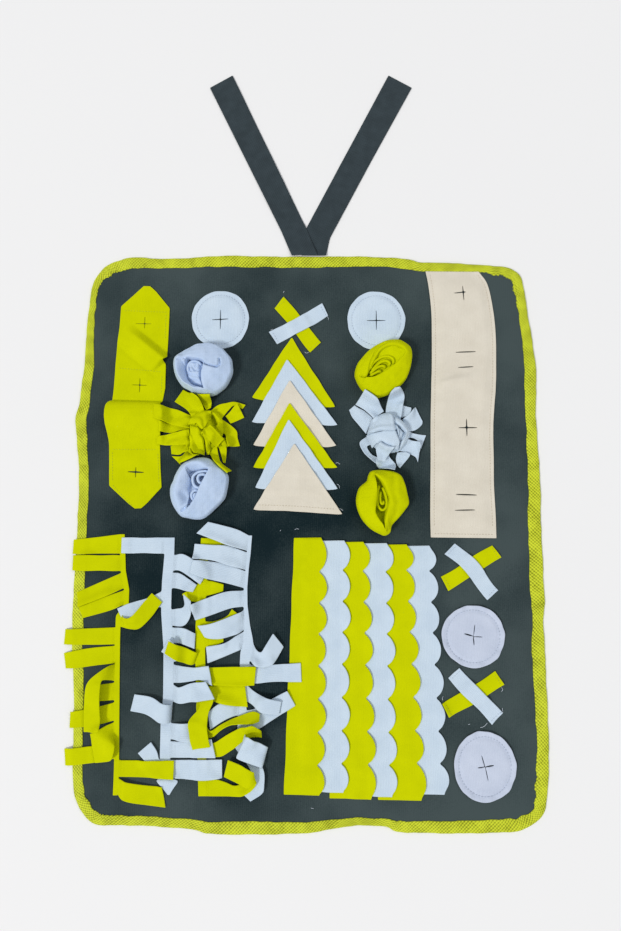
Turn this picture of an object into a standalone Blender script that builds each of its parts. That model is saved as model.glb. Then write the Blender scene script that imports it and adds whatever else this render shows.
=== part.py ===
"""Snuffle mat: a felt panel bound with ribbon, with fleece patches, fringes and rolled roses sewn on it.

Metres, +Z up, +Y towards the ties. The origin is the middle of the panel's flat underside.
Every piece of cloth is laid in turn on what lies below it, and is then given its thickness.
"""

import math
from collections import namedtuple

import bmesh
import bpy
import numpy as np

PANEL_THICK = 0.0026
FLEECE_THICK = 0.0013
TIE_THICK = 0.0012
BINDING_THICK = 0.0008
BINDING_HEIGHT = 0.0029
BINDING_ROUND = 0.0010
BINDING_FOLD = 0.0017
MARGIN_INSET = 0.0021
MARGIN_LOW = 0.0011
MARGIN_HIGH = 0.0018
MARGIN_SLOPE = 0.003
MARGIN_CLEAR = 0.001
GAP = 0.0004
TONGUE_WIDTH = 0.019
TONGUE_STEP = 0.014
CURVE_STEPS = 12
STRIP_WIDTH = 0.0185

COLOURS = {
    "slate": (0.027, 0.047, 0.055),
    "tie": (0.030, 0.054, 0.062),
    "ribbon": (0.47, 0.50, 0.035),
    "lime": (0.56, 0.60, 0.006),
    "ice": (0.58, 0.69, 0.80),
    "lilac": (0.54, 0.60, 0.71),
    "sand": (0.70, 0.62, 0.52),
}

# The mat's outer edge, clockwise from the top left corner, and how far the binding covers it.
Edge = namedtuple("Edge", "x y width")
TOP_EDGE = [
    Edge(-0.262, 0.335, 0.014), Edge(-0.246, 0.343, 0.015), Edge(-0.228, 0.347, 0.015),
    Edge(-0.181, 0.345, 0.013), Edge(-0.108, 0.349, 0.015), Edge(-0.050, 0.348, 0.015),
    Edge(0.000, 0.348, 0.015), Edge(0.050, 0.348, 0.014), Edge(0.092, 0.347, 0.013),
    Edge(0.128, 0.344, 0.014), Edge(0.141, 0.340, 0.012), Edge(0.170, 0.340, 0.013),
    Edge(0.214, 0.337, 0.010), Edge(0.235, 0.335, 0.012), Edge(0.251, 0.334, 0.013),
]
RIGHT_EDGE = [
    Edge(0.266, 0.325, 0.013), Edge(0.272, 0.309, 0.013), Edge(0.276, 0.274, 0.012),
    Edge(0.281, 0.234, 0.013), Edge(0.284, 0.190, 0.015), Edge(0.281, 0.142, 0.013),
    Edge(0.282, 0.100, 0.014), Edge(0.283, 0.053, 0.015), Edge(0.282, 0.003, 0.016),
    Edge(0.282, -0.066, 0.017), Edge(0.282, -0.091, 0.016), Edge(0.279, -0.115, 0.013),
    Edge(0.280, -0.140, 0.016), Edge(0.280, -0.188, 0.015), Edge(0.280, -0.248, 0.014),
    Edge(0.277, -0.295, 0.015), Edge(0.272, -0.325, 0.013), Edge(0.262, -0.338, 0.013),
]
BOTTOM_EDGE = [
    Edge(0.244, -0.347, 0.014), Edge(0.220, -0.350, 0.015), Edge(0.171, -0.351, 0.014),
    Edge(0.123, -0.350, 0.013), Edge(0.099, -0.349, 0.012), Edge(0.086, -0.343, 0.009),
    Edge(0.058, -0.342, 0.009), Edge(0.031, -0.345, 0.010), Edge(0.002, -0.350, 0.012),
    Edge(-0.046, -0.352, 0.014), Edge(-0.082, -0.352, 0.015), Edge(-0.117, -0.351, 0.013),
    Edge(-0.133, -0.347, 0.011), Edge(-0.153, -0.345, 0.011), Edge(-0.182, -0.343, 0.011),
    Edge(-0.216, -0.342, 0.011), Edge(-0.243, -0.342, 0.012), Edge(-0.257, -0.336, 0.013),
]
LEFT_EDGE = [
    Edge(-0.268, -0.323, 0.012), Edge(-0.275, -0.306, 0.012), Edge(-0.278, -0.283, 0.012),
    Edge(-0.279, -0.236, 0.011), Edge(-0.281, -0.188, 0.012), Edge(-0.285, -0.140, 0.013),
    Edge(-0.286, -0.090, 0.014), Edge(-0.285, -0.020, 0.012), Edge(-0.285, 0.025, 0.012),
    Edge(-0.286, 0.072, 0.012), Edge(-0.290, 0.108, 0.013), Edge(-0.293, 0.136, 0.014),
    Edge(-0.289, 0.157, 0.013), Edge(-0.285, 0.207, 0.012), Edge(-0.284, 0.247, 0.010),
    Edge(-0.281, 0.292, 0.008), Edge(-0.276, 0.317, 0.010),
]
MAT_EDGE = TOP_EDGE + RIGHT_EDGE + BOTTOM_EDGE + LEFT_EDGE

# A row across a strip of cloth: its two ends, and how high the cloth stands there.
Row = namedtuple("Row", "left_x left_y right_x right_y left_lift right_lift", defaults=(0.0, 0.0))
RIGHT_TIE = [
    Row(0.104, 0.602, 0.135, 0.584), Row(-0.006, 0.386, 0.025, 0.373),
    Row(-0.012, 0.3485, 0.020, 0.3485),
]
LEFT_TIE = [
    Row(-0.134, 0.584, -0.104, 0.602), Row(-0.037, 0.381, -0.006, 0.388),
    Row(-0.024, 0.3485, 0.009, 0.3485),
]
TUNNEL_STRIP = [
    Row(-0.2130, 0.306, -0.2040, 0.306), Row(-0.2395, 0.281, -0.1780, 0.279),
    Row(-0.2410, 0.252, -0.1790, 0.229), Row(-0.2420, 0.246, -0.1800, 0.222, 0.002, 0.008),
    Row(-0.2430, 0.240, -0.1810, 0.214, 0.003, 0.012),
    Row(-0.2435, 0.234, -0.1820, 0.206, 0.002, 0.008), Row(-0.2440, 0.229, -0.1820, 0.200),
    Row(-0.2450, 0.199, -0.1820, 0.193), Row(-0.2460, 0.163, -0.1830, 0.160),
    Row(-0.2520, 0.155, -0.1840, 0.155, 0.007, 0.006),
    Row(-0.2560, 0.144, -0.1850, 0.144, 0.011, 0.010),
    Row(-0.2555, 0.130, -0.1850, 0.130, 0.012, 0.011),
    Row(-0.2530, 0.116, -0.1850, 0.116, 0.010, 0.009),
    Row(-0.2500, 0.106, -0.1850, 0.107, 0.005, 0.005), Row(-0.2480, 0.099, -0.1850, 0.101),
    Row(-0.2470, 0.053, -0.1820, 0.050), Row(-0.2160, 0.023, -0.2080, 0.023),
]
POCKET_STRIP = [
    Row(0.147, 0.3255, 0.215, 0.3255), Row(0.150, 0.309, 0.226, 0.309), Row(0.153, 0.274, 0.232, 0.274),
    Row(0.153, 0.239, 0.234, 0.239), Row(0.152, 0.200, 0.233, 0.200), Row(0.151, 0.181, 0.232, 0.181),
    Row(0.149, 0.129, 0.227, 0.129), Row(0.148, 0.085, 0.226, 0.085), Row(0.147, 0.053, 0.225, 0.053),
    Row(0.146, 0.015, 0.226, 0.015), Row(0.146, -0.011, 0.226, -0.012),
]
POCKET_PUFF = 0.0025
POCKET_END = 0.4
STRIP_COLUMNS = 5
TIE_COLUMNS = 3
TIE_STEPS = 6
CROSS_STEPS = 7

# Round patches: half sizes, and how far the rim outside the stitching stands up.
PATCH_SIDES = 20
PATCH_STITCHING = 0.84
Patch = namedtuple("Patch", "name x y across along colour rim_lift")
ROUND_PATCHES = [
    Patch("patch_top_left", -0.114, 0.263, 0.0360, 0.0360, "ice", 0.0),
    Patch("patch_top_right", 0.083, 0.262, 0.0365, 0.0365, "ice", 0.0),
    Patch("patch_low_upper", 0.194, -0.128, 0.0375, 0.0370, "lilac", 0.0012),
    Patch("patch_low_lower", 0.203, -0.276, 0.0360, 0.0405, "lilac", 0.0012),
]

# Six triangles, the top one laid first, each of them cut into rows of faces.
Triangle = namedtuple("Triangle", "name apex_x apex_y left_x left_y right_x right_y colour")
TRIANGLES = [
    Triangle("triangle_1", -0.024, 0.240, -0.074, 0.161, 0.032, 0.149, "lime"),
    Triangle("triangle_2", -0.029, 0.211, -0.074, 0.130, 0.035, 0.126, "ice"),
    Triangle("triangle_3", -0.026, 0.184, -0.072, 0.101, 0.033, 0.100, "sand"),
    Triangle("triangle_4", -0.026, 0.155, -0.072, 0.073, 0.034, 0.073, "lime"),
    Triangle("triangle_5", -0.027, 0.134, -0.069, 0.048, 0.035, 0.047, "ice"),
    Triangle("triangle_6", -0.020, 0.104, -0.071, 0.022, 0.040, 0.016, "sand"),
]
TRIANGLE_CUTS = 7

# Scalloped strips, the right one laid first: x of the sewn edge and of the notches, at both ends.
Scallop = namedtuple("Scallop", "name left_top left_low notch_top notch_low top bottom colour")
SCALLOPS = [
    Scallop("scallop_6", 0.104, 0.110, 0.141, 0.151, -0.022, -0.306, "ice"),
    Scallop("scallop_5", 0.077, 0.078, 0.113, 0.124, -0.020, -0.313, "lime"),
    Scallop("scallop_4", 0.050, 0.053, 0.089, 0.090, -0.018, -0.309, "ice"),
    Scallop("scallop_3", 0.025, 0.022, 0.061, 0.066, -0.016, -0.312, "lime"),
    Scallop("scallop_2", -0.002, -0.006, 0.038, 0.034, -0.014, -0.305, "ice"),
    Scallop("scallop_1", -0.023, -0.029, 0.010, 0.006, -0.010, -0.309, "lime"),
]
SCALLOP_COUNT = 8
SCALLOP_STEPS = 4
SCALLOP_DEPTH = 0.010
SCALLOP_FOLD = 0.003
SCALLOP_ROUND = 0.55
SCALLOP_END = 0.45

Strip = namedtuple("Strip", "name x1 y1 x2 y2 colour")
CROSS_STRIPS = [
    Strip("cross_top_under", -0.041, 0.287, 0.006, 0.227, "lime"),
    Strip("cross_top_over", -0.047, 0.238, 0.019, 0.276, "ice"),
    Strip("cross_middle_under", 0.161, -0.066, 0.226, -0.028, "lime"),
    Strip("cross_middle_over", 0.169, -0.024, 0.221, -0.078, "ice"),
    Strip("cross_low_under", 0.159, -0.214, 0.224, -0.176, "lime"),
    Strip("cross_low_over", 0.170, -0.170, 0.219, -0.223, "ice"),
]

# Rolled roses: an oval cup and the oval of its mouth, with their half sizes and turns (degrees).
Oval = namedtuple("Oval", "x y across along turn")
Rose = namedtuple("Rose", "name colour cup mouth")
ROSES = [
    Rose("rose_upper_left", "ice",
         Oval(-0.134, 0.198, 0.0360, 0.0320, -12), Oval(-0.145, 0.196, 0.0130, 0.0200, 25)),
    Rose("rose_lower_left", "ice",
         Oval(-0.137, 0.048, 0.0345, 0.0380, -20), Oval(-0.142, 0.050, 0.0140, 0.0270, -28)),
    Rose("rose_upper_right", "lime",
         Oval(0.091, 0.198, 0.0365, 0.0320, 38), Oval(0.089, 0.203, 0.0310, 0.0110, 29)),
    Rose("rose_lower_right", "lime",
         Oval(0.089, 0.032, 0.0325, 0.0385, 0), Oval(0.086, 0.032, 0.0085, 0.0320, -6)),
]
ROSE_HEIGHT = 0.026
ROSE_SPOKES = 18
ROSE_SHOULDER = 0.93
# Rings of a rose, up its outside and down into its mouth: the share of the way from the cup's
# outline (0) to the mouth's (1), the size against that line, and the share of the height.
Ring = namedtuple("Ring", "to_mouth size height")
ROSE_RINGS = [
    Ring(0.0, 0.74, 0.00), Ring(0.0, 0.93, 0.14), Ring(0.0, 1.00, 0.42), Ring(0.0, ROSE_SHOULDER, 0.74),
    Ring(0.5, 1.00, 0.96), Ring(0.85, 1.00, 1.00), Ring(1.0, 1.00, 0.88), Ring(1.0, 0.86, 0.50),
    Ring(1.0, 0.66, 0.42), Ring(1.0, 0.52, 0.58), Ring(1.0, 0.24, 0.62),
]

# Pompoms: petals are strips that grow out of a low dome. A petal leaves band 0, 1 or 2 of the
# dome and falls towards its tip, standing as high as its lift halfway.
Petal = namedtuple("Petal", "band tip_x tip_y lift")
Pompom = namedtuple("Pompom", "name x y radius height colour petals")
POMPOMS = [
    Pompom("pompom_left", -0.129, 0.119, 0.017, 0.017, "lime", [
        Petal(0, -0.166, 0.160, 0.006), Petal(0, -0.130, 0.158, 0.005), Petal(0, -0.092, 0.153, 0.007),
        Petal(0, -0.085, 0.104, 0.006), Petal(0, -0.101, 0.078, 0.006), Petal(0, -0.162, 0.087, 0.006),
        Petal(1, -0.193, 0.143, 0.008), Petal(0, -0.190, 0.116, 0.010),
        Petal(1, -0.108, 0.140, 0.006), Petal(1, -0.103, 0.112, 0.006), Petal(1, -0.124, 0.092, 0.006),
        Petal(1, -0.150, 0.100, 0.005), Petal(2, -0.120, 0.104, 0.003), Petal(2, -0.140, 0.130, 0.003),
    ]),
    Pompom("pompom_right", 0.097, 0.115, 0.018, 0.018, "ice", [
        Petal(0, 0.062, 0.158, 0.007), Petal(0, 0.056, 0.136, 0.006), Petal(0, 0.107, 0.158, 0.007),
        Petal(0, 0.134, 0.145, 0.008), Petal(0, 0.140, 0.108, 0.006), Petal(0, 0.130, 0.082, 0.006),
        Petal(0, 0.098, 0.072, 0.006), Petal(0, 0.068, 0.088, 0.007),
        Petal(1, 0.118, 0.136, 0.007), Petal(1, 0.124, 0.112, 0.006), Petal(1, 0.113, 0.092, 0.005),
        Petal(1, 0.086, 0.086, 0.006), Petal(2, 0.084, 0.122, 0.003), Petal(2, 0.108, 0.124, 0.004),
    ]),
]
PETAL_WIDTH = 0.0165
PETAL_FALL = 1.5
POMPOM_SECTORS = 8
# Rings of the dome from its foot up, and the stations along a petal from its root to its tip.
DomeRing = namedtuple("DomeRing", "size height")
DOME_RINGS = [DomeRing(0.55, 0.0), DomeRing(1.0, 0.30), DomeRing(0.95, 0.62), DomeRing(0.62, 0.92)]
PetalStation = namedtuple("PetalStation", "share width")
PETAL_STATIONS = [
    PetalStation(0.16, 0.6), PetalStation(0.5, 1.0), PetalStation(0.78, 1.0), PetalStation(1.0, 0.9),
]

# Fringed strips: the sewn margin runs down through the seam's points. Each tongue is cut from
# one side of the margin, between two heights, and lies along its own path.
Fringe = namedtuple("Fringe", "name colour left_of_seam right_of_seam seam")
FRINGES = [
    Fringe("fringe_left_lime", "lime", 0.006, 0.0,
           [(-0.226, -0.007), (-0.223, -0.051), (-0.218, -0.073), (-0.218, -0.092), (-0.227, -0.104),
            (-0.227, -0.133), (-0.224, -0.247), (-0.223, -0.276), (-0.224, -0.310)]),
    Fringe("fringe_left_ice", "ice", 0.0, 0.012,
           [(-0.177, -0.010), (-0.177, -0.032), (-0.179, -0.064), (-0.179, -0.100), (-0.175, -0.144),
            (-0.174, -0.197), (-0.176, -0.228), (-0.176, -0.290)]),
    Fringe("fringe_inner_lime", "lime", 0.0, 0.007, [(-0.133, -0.012), (-0.131, -0.310)]),
    Fringe("fringe_inner_ice", "ice", 0.006, 0.0,
           [(-0.071, -0.007), (-0.074, -0.038), (-0.075, -0.086), (-0.072, -0.116), (-0.067, -0.138),
            (-0.064, -0.161), (-0.062, -0.202), (-0.064, -0.236)]),
]

# Listed from the lowest one to the one on top: side is left, right or end, and lifts are the
# heights at which the tongue arches over its path's points.
Tongue = namedtuple("Tongue", "fringe side top bottom path lifts width", defaults=((), TONGUE_WIDTH))
A, B, C, D = "fringe_left_lime", "fringe_left_ice", "fringe_inner_ice", "fringe_inner_lime"
TONGUES = [
    Tongue(B, "left", -0.0755, -0.0935, [(-0.200, -0.088), (-0.2225, -0.0915)], (), 0.0175),
    Tongue(A, "left", -0.0740, -0.0910, [(-0.274, -0.103)]),
    Tongue(A, "left", -0.0535, -0.0715, [(-0.278, -0.086)], (0.001,)),
    Tongue(A, "left", -0.0325, -0.0510, [(-0.288, -0.0415)]),
    Tongue(A, "left", -0.0120, -0.0305, [(-0.286, -0.0215)]),
    Tongue(A, "left", -0.1190, -0.1375, [(-0.294, -0.1280)], (0.001,)),
    Tongue(A, "left", -0.1400, -0.1580, [(-0.293, -0.1570)]),
    Tongue(A, "left", -0.1815, -0.2010, [(-0.262, -0.1930)]),
    Tongue(A, "left", -0.2035, -0.2220, [(-0.284, -0.2220)]),
    Tongue(A, "left", -0.2480, -0.2660, [(-0.289, -0.2670)]),
    Tongue(A, "left", -0.2250, -0.2430, [(-0.242, -0.237), (-0.262, -0.246)], (0.0, 0.001)),
    Tongue(A, "left", -0.1605, -0.1790, [(-0.247, -0.172), (-0.258, -0.190), (-0.257, -0.236)],
           (0.003, 0.004, 0.0)),
    Tongue(A, "right", -0.1010, -0.1170, [(-0.213, -0.121), (-0.197, -0.110), (-0.183, -0.090)],
           (0.003, 0.004, 0.001), 0.017),
    Tongue(B, "left", -0.0110, -0.0305, [(-0.229, -0.0205)]),
    Tongue(C, "left", -0.2130, -0.2330, [(-0.107, -0.229)]),
    Tongue(D, "right", -0.0130, -0.0310, [(-0.098, -0.020)]),
    Tongue(D, "left", -0.0720, -0.0900, [(-0.158, -0.088)]),
    Tongue(D, "right", -0.0720, -0.0900, [(-0.106, -0.072)]),
    Tongue(D, "right", -0.0980, -0.1160, [(-0.105, -0.110)]),
    Tongue(D, "right", -0.1230, -0.1410, [(-0.106, -0.130)]),
    Tongue(D, "right", -0.1870, -0.2050, [(-0.074, -0.196)]),
    Tongue(D, "right", -0.1650, -0.1840, [(-0.065, -0.174)], (0.001,)),
    Tongue(D, "right", -0.2910, -0.3090, [(-0.074, -0.300)]),
    Tongue(C, "end", 0.0, 0.0, [(-0.066, -0.262), (-0.064, -0.306)], (0.007, 0.0)),
    Tongue(D, "right", -0.2480, -0.2640, [(-0.105, -0.252), (-0.062, -0.230)], (0.004, 0.002), 0.014),
    Tongue(D, "right", -0.2290, -0.2450, [(-0.108, -0.234), (-0.064, -0.214)], (0.004, 0.002), 0.014),
    Tongue(D, "right", -0.2670, -0.2850, [(-0.088, -0.277), (-0.069, -0.296)], (0.003, 0.001)),
    Tongue(B, "right", -0.0325, -0.0510, [(-0.142, -0.044)], (0.003,)),
    Tongue(B, "right", -0.0535, -0.0715, [(-0.142, -0.072)], (0.002,)),
    Tongue(B, "right", -0.0970, -0.1155, [(-0.138, -0.108)]),
    Tongue(B, "right", -0.1180, -0.1360, [(-0.140, -0.128)]),
    Tongue(B, "right", -0.1385, -0.1570, [(-0.143, -0.148)]),
    Tongue(D, "left", -0.1430, -0.1590, [(-0.150, -0.150), (-0.172, -0.138)], (0.002, 0.001), 0.0165),
    Tongue(B, "right", -0.1610, -0.1815, [(-0.116, -0.171)]),
    Tongue(B, "right", -0.1840, -0.2020, [(-0.140, -0.196), (-0.116, -0.188)], (0.002, 0.002)),
    Tongue(B, "left", -0.2050, -0.2250, [(-0.190, -0.212), (-0.209, -0.204)], (0.003, 0.001)),
    Tongue(B, "right", -0.2275, -0.2455, [(-0.134, -0.238)]),
    Tongue(B, "right", -0.2480, -0.2665, [(-0.111, -0.258)]),
    Tongue(D, "left", -0.2080, -0.2250, [(-0.142, -0.224), (-0.137, -0.258)], (0.002, 0.001)),
    Tongue(B, "left", -0.2690, -0.2880, [(-0.199, -0.254)]),
    Tongue(B, "end", 0.0, 0.0, [(-0.161, -0.310)]),
    Tongue(B, "right", -0.2690, -0.2880, [(-0.103, -0.279)], (0.001,)),
    Tongue(A, "right", -0.2690, -0.2875, [(-0.158, -0.2785)], (0.001,)),
    Tongue(A, "right", -0.2900, -0.3080, [(-0.202, -0.307), (-0.167, -0.311)], (0.002, 0.0)),
    Tongue(C, "right", -0.1840, -0.2030, [(-0.038, -0.200)]),
    Tongue(C, "right", -0.2130, -0.2330, [(-0.023, -0.200)], (0.001,)),
    Tongue(C, "right", -0.1600, -0.1800, [(-0.0115, -0.170)]),
    Tongue(C, "right", -0.1380, -0.1560, [(-0.053, -0.150), (-0.037, -0.132)], (0.002, 0.003)),
    Tongue(C, "left", -0.1180, -0.1355, [(-0.100, -0.136), (-0.124, -0.149)], (0.002, 0.001)),
    Tongue(C, "left", -0.0965, -0.1150, [(-0.129, -0.122)], (0.002,)),
    Tongue(C, "left", -0.0745, -0.0935, [(-0.140, -0.100)], (0.002,)),
    Tongue(C, "left", -0.0525, -0.0715, [(-0.142, -0.046)], (0.001,)),
    Tongue(C, "left", -0.0305, -0.0500, [(-0.142, -0.028)], (0.001,)),
    Tongue(C, "left", -0.0085, -0.0280, [(-0.133, 0.001)], (0.001,)),
]


class Ground:
    """The height of all that has been laid so far, on a square grid."""

    cell = 0.001
    margin = 0.0004
    root_margin = 0.0016
    cover = 0.0005
    steepest = 2.5

    def __init__(self, low, high):
        self.low = np.array(low)
        size = np.ceil((np.array(high) - self.low) / self.cell).astype(int)
        self.height = np.zeros(size)

    def cells(self, corners, margins):
        """Cells with their middle inside a convex face, or no further from an edge than its margin."""
        corners = np.asarray(corners)[:, :2]
        spare = max(0.0, max(margins))
        first = ((corners.min(0) - spare - self.low) / self.cell).astype(int)
        last = ((corners.max(0) + spare - self.low) / self.cell).astype(int) + 2
        i, j = np.meshgrid(np.arange(first[0], last[0]), np.arange(first[1], last[1]), indexing="ij")
        x = self.low[0] + (i + 0.5) * self.cell
        y = self.low[1] + (j + 0.5) * self.cell
        following = np.roll(corners, -1, axis=0)
        area = np.sum(corners[:, 0] * following[:, 1] - following[:, 0] * corners[:, 1])
        inside = np.ones(i.shape, bool)
        for start, end, margin in zip(corners, following, margins):
            edge = end - start
            length = math.hypot(*edge)
            if length < 1e-9:
                continue
            inner = (edge[0] * (y - start[1]) - edge[1] * (x - start[0])) / length
            inside &= math.copysign(1.0, area) * inner > -margin
        return i[inside], j[inside], x[inside], y[inside]

    def highest(self, corners, root=False):
        margins = [self.margin] * len(corners)
        if root:
            margins[0] = -self.root_margin
        i, j, _, _ = self.cells(corners, margins)
        return self.height[i, j].max() if len(i) else 0.0

    def rest(self, points, faces, gap=GAP):
        """The lowest height at which each corner keeps all of its faces clear of what is below."""
        z = np.zeros(len(points))
        for face in faces:
            below = self.highest(points[list(face)])
            if below > 0:
                z[list(face)] = np.maximum(z[list(face)], below + gap)
        return z

    def lay(self, points, faces, thickness):
        """Adds a sheet whose underside has these points."""
        for face in faces:
            for k in range(1, len(face) - 1):
                corners = points[[face[0], face[k], face[k + 1]]]
                normal = np.cross(corners[1] - corners[0], corners[2] - corners[0])
                if abs(normal[2]) < 1e-12:
                    continue
                i, j, x, y = self.cells(corners, [self.cover] * 3)
                slope = -normal[:2] / normal[2]
                z = corners[0][2] + slope[0] * (x - corners[0][0]) + slope[1] * (y - corners[0][1])
                z = np.clip(z, corners[:, 2].min(), corners[:, 2].max())
                steep = np.linalg.norm(normal) / abs(normal[2])
                self.height[i, j] = np.maximum(self.height[i, j], z + thickness * min(steep, self.steepest))


def clear_scene():
    for obj in list(bpy.data.objects):
        bpy.data.objects.remove(obj, do_unlink=True)


def make_material(name, colour):
    material = bpy.data.materials.new(name)
    material.use_nodes = True
    shader = material.node_tree.nodes["Principled BSDF"]
    shader.inputs["Base Color"].default_value = (*colour, 1.0)
    shader.inputs["Roughness"].default_value = 0.92
    shader.inputs["Metallic"].default_value = 0.0
    return material


def add_object(name, mesh_data, colour, collection):
    obj = bpy.data.objects.new(name, mesh_data)
    obj.data.materials.append(make_material(name, COLOURS[colour]))
    collection.objects.link(obj)
    return obj


def mesh_from(name, points, faces):
    """A mesh with its faces turned the same way round."""
    mesh = bpy.data.meshes.new(name)
    mesh.from_pydata([tuple(float(c) for c in point) for point in points], [], faces)
    mesh.validate()
    bm = bmesh.new()
    bm.from_mesh(mesh)
    bmesh.ops.recalc_face_normals(bm, faces=bm.faces)
    bm.to_mesh(mesh)
    bm.free()
    return mesh


def facing_up(points, face):
    corners = [points[k] for k in face]
    area = sum(a[0] * b[1] - b[0] * a[1] for a, b in zip(corners, corners[1:] + corners[:1]))
    return tuple(face) if area > 0 else tuple(reversed(face))


def add_cloth(name, points, faces, colour, collection, thickness=FLEECE_THICK):
    """A sheet from its underside, thickened upwards."""
    mesh = bpy.data.meshes.new(name)
    upward = [facing_up(points, face) for face in faces]
    mesh.from_pydata([tuple(float(c) for c in point) for point in points], [], upward)
    obj = add_object(name, mesh, colour, collection)
    solidify = obj.modifiers.new("Thickness", "SOLIDIFY")
    solidify.thickness = thickness
    solidify.offset = 1.0
    return obj


def lay_cloth(name, flat, faces, colour, ground, collection, lifts=None, thickness=FLEECE_THICK):
    """Lays a flat outline on the ground, raises it by its lifts, and thickens it."""
    flat = np.asarray(flat, float)
    z = ground.rest(flat, faces)
    if lifts is not None:
        z = z + np.asarray(lifts)
    points = np.column_stack([flat[:, :2], z])
    ground.lay(points, faces, thickness)
    return add_cloth(name, points, faces, colour, collection, thickness)


def grid_faces(rows, columns):
    return [
        (r * columns + c, r * columns + c + 1, (r + 1) * columns + c + 1, (r + 1) * columns + c)
        for r in range(rows - 1)
        for c in range(columns - 1)
    ]


def loft(rings):
    """Faces between rings of equal count, each of them closed, and a cap at both ends."""
    count = len(rings[0])
    faces = [
        (r * count + k, r * count + (k + 1) % count, (r + 1) * count + (k + 1) % count, (r + 1) * count + k)
        for r in range(len(rings) - 1)
        for k in range(count)
    ]
    faces.append(tuple(range(count)))
    faces.append(tuple(range((len(rings) - 1) * count, len(rings) * count)))
    return faces


def edge_line(inset, z):
    """The mat's edge moved inwards, where inset is worked out from the binding's width there."""
    line = []
    for k, point in enumerate(MAT_EDGE):
        before, after = MAT_EDGE[k - 1], MAT_EDGE[(k + 1) % len(MAT_EDGE)]
        along = np.array([after.x - before.x, after.y - before.y])
        outward = np.array([-along[1], along[0]]) / math.hypot(*along)
        x, y = np.array([point.x, point.y]) - outward * inset(point.width)
        line.append((x, y, z))
    return line


def make_panel(collection):
    """Felt, pinched thinner where the binding holds its margin."""
    rings = [
        edge_line(lambda width: width + MARGIN_CLEAR + MARGIN_SLOPE, 0.0),
        edge_line(lambda width: width + MARGIN_CLEAR, MARGIN_LOW),
        edge_line(lambda width: MARGIN_INSET, MARGIN_LOW),
        edge_line(lambda width: MARGIN_INSET, MARGIN_HIGH),
        edge_line(lambda width: width + MARGIN_CLEAR, MARGIN_HIGH),
        edge_line(lambda width: width + MARGIN_CLEAR + MARGIN_SLOPE, PANEL_THICK),
    ]
    mesh = mesh_from("panel", [point for ring in rings for point in ring], loft(rings))
    add_object("panel", mesh, "slate", collection)


def make_binding(ground, collection):
    """Ribbon folded over the panel's edge: a U lying on its side, carried round the mat."""
    high, thick = BINDING_HEIGHT, BINDING_THICK
    rings = [
        edge_line(lambda width: width, 0.0),
        edge_line(lambda width: BINDING_ROUND, 0.0),
        edge_line(lambda width: 0.0, high / 2),
        edge_line(lambda width: BINDING_ROUND, high),
        edge_line(lambda width: width, high),
        edge_line(lambda width: width, high - thick),
        edge_line(lambda width: BINDING_FOLD, high - thick),
        edge_line(lambda width: BINDING_FOLD, thick),
        edge_line(lambda width: width, thick),
    ]
    count = len(MAT_EDGE)
    faces = [
        (r * count + k, r * count + (k + 1) % count, s * count + (k + 1) % count, s * count + k)
        for r in range(len(rings))
        for s in [(r + 1) % len(rings)]
        for k in range(count)
    ]
    mesh = mesh_from("binding", [point for ring in rings for point in ring], faces)
    add_object("binding", mesh, "ribbon", collection)
    outer = np.array(edge_line(lambda width: 0.0, 0.0))
    inner = np.array(edge_line(lambda width: width, 0.0))
    for k in range(count):
        m = (k + 1) % count
        band = np.array([outer[k], outer[m], inner[m], inner[k]])
        ground.lay(band, [(0, 1, 2, 3)], high)
        middle = np.array([inner[k], inner[m], (0.0, 0.0, 0.0)])
        ground.lay(middle, [(0, 1, 2)], PANEL_THICK)


def row_points(rows, columns, steps=1):
    """Points across each row, with steps rows for each row of the table."""
    flat, lifts = [], []
    for first, second in zip(rows, rows[1:] + rows[-1:]):
        for s in range(steps if second is not first else 1):
            share = s / steps
            row = [a + (b - a) * share for a, b in zip(first, second)]
            for c in range(columns):
                across = c / (columns - 1)
                flat.append((row[0] + (row[2] - row[0]) * across, row[1] + (row[3] - row[1]) * across))
                lifts.append(row[4] + (row[5] - row[4]) * across)
    return np.array(flat), np.array(lifts)


def make_ties(ground, collection):
    for name, rows in (("tie_right", RIGHT_TIE), ("tie_left", LEFT_TIE)):
        flat, _ = row_points(rows, TIE_COLUMNS, TIE_STEPS)
        faces = grid_faces(len(flat) // TIE_COLUMNS, TIE_COLUMNS)
        lay_cloth(name, flat, faces, "tie", ground, collection, thickness=TIE_THICK)


def make_tunnel_strip(ground, collection):
    flat, lifts = row_points(TUNNEL_STRIP, STRIP_COLUMNS)
    faces = grid_faces(len(TUNNEL_STRIP), STRIP_COLUMNS)
    lay_cloth("tunnel_strip", flat, faces, "lime", ground, collection, lifts)


def make_pocket_strip(ground, collection):
    """Sewn down at its long edges, and puffed a little between them."""
    rows, columns = len(POCKET_STRIP), STRIP_COLUMNS
    flat, _ = row_points(POCKET_STRIP, columns)
    lifts = [
        POCKET_PUFF * math.sin(math.pi * c / (columns - 1)) * math.sin(math.pi * r / (rows - 1)) ** POCKET_END
        for r in range(rows)
        for c in range(columns)
    ]
    lay_cloth("pocket_strip", flat, grid_faces(rows, columns), "sand", ground, collection, lifts)


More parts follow.
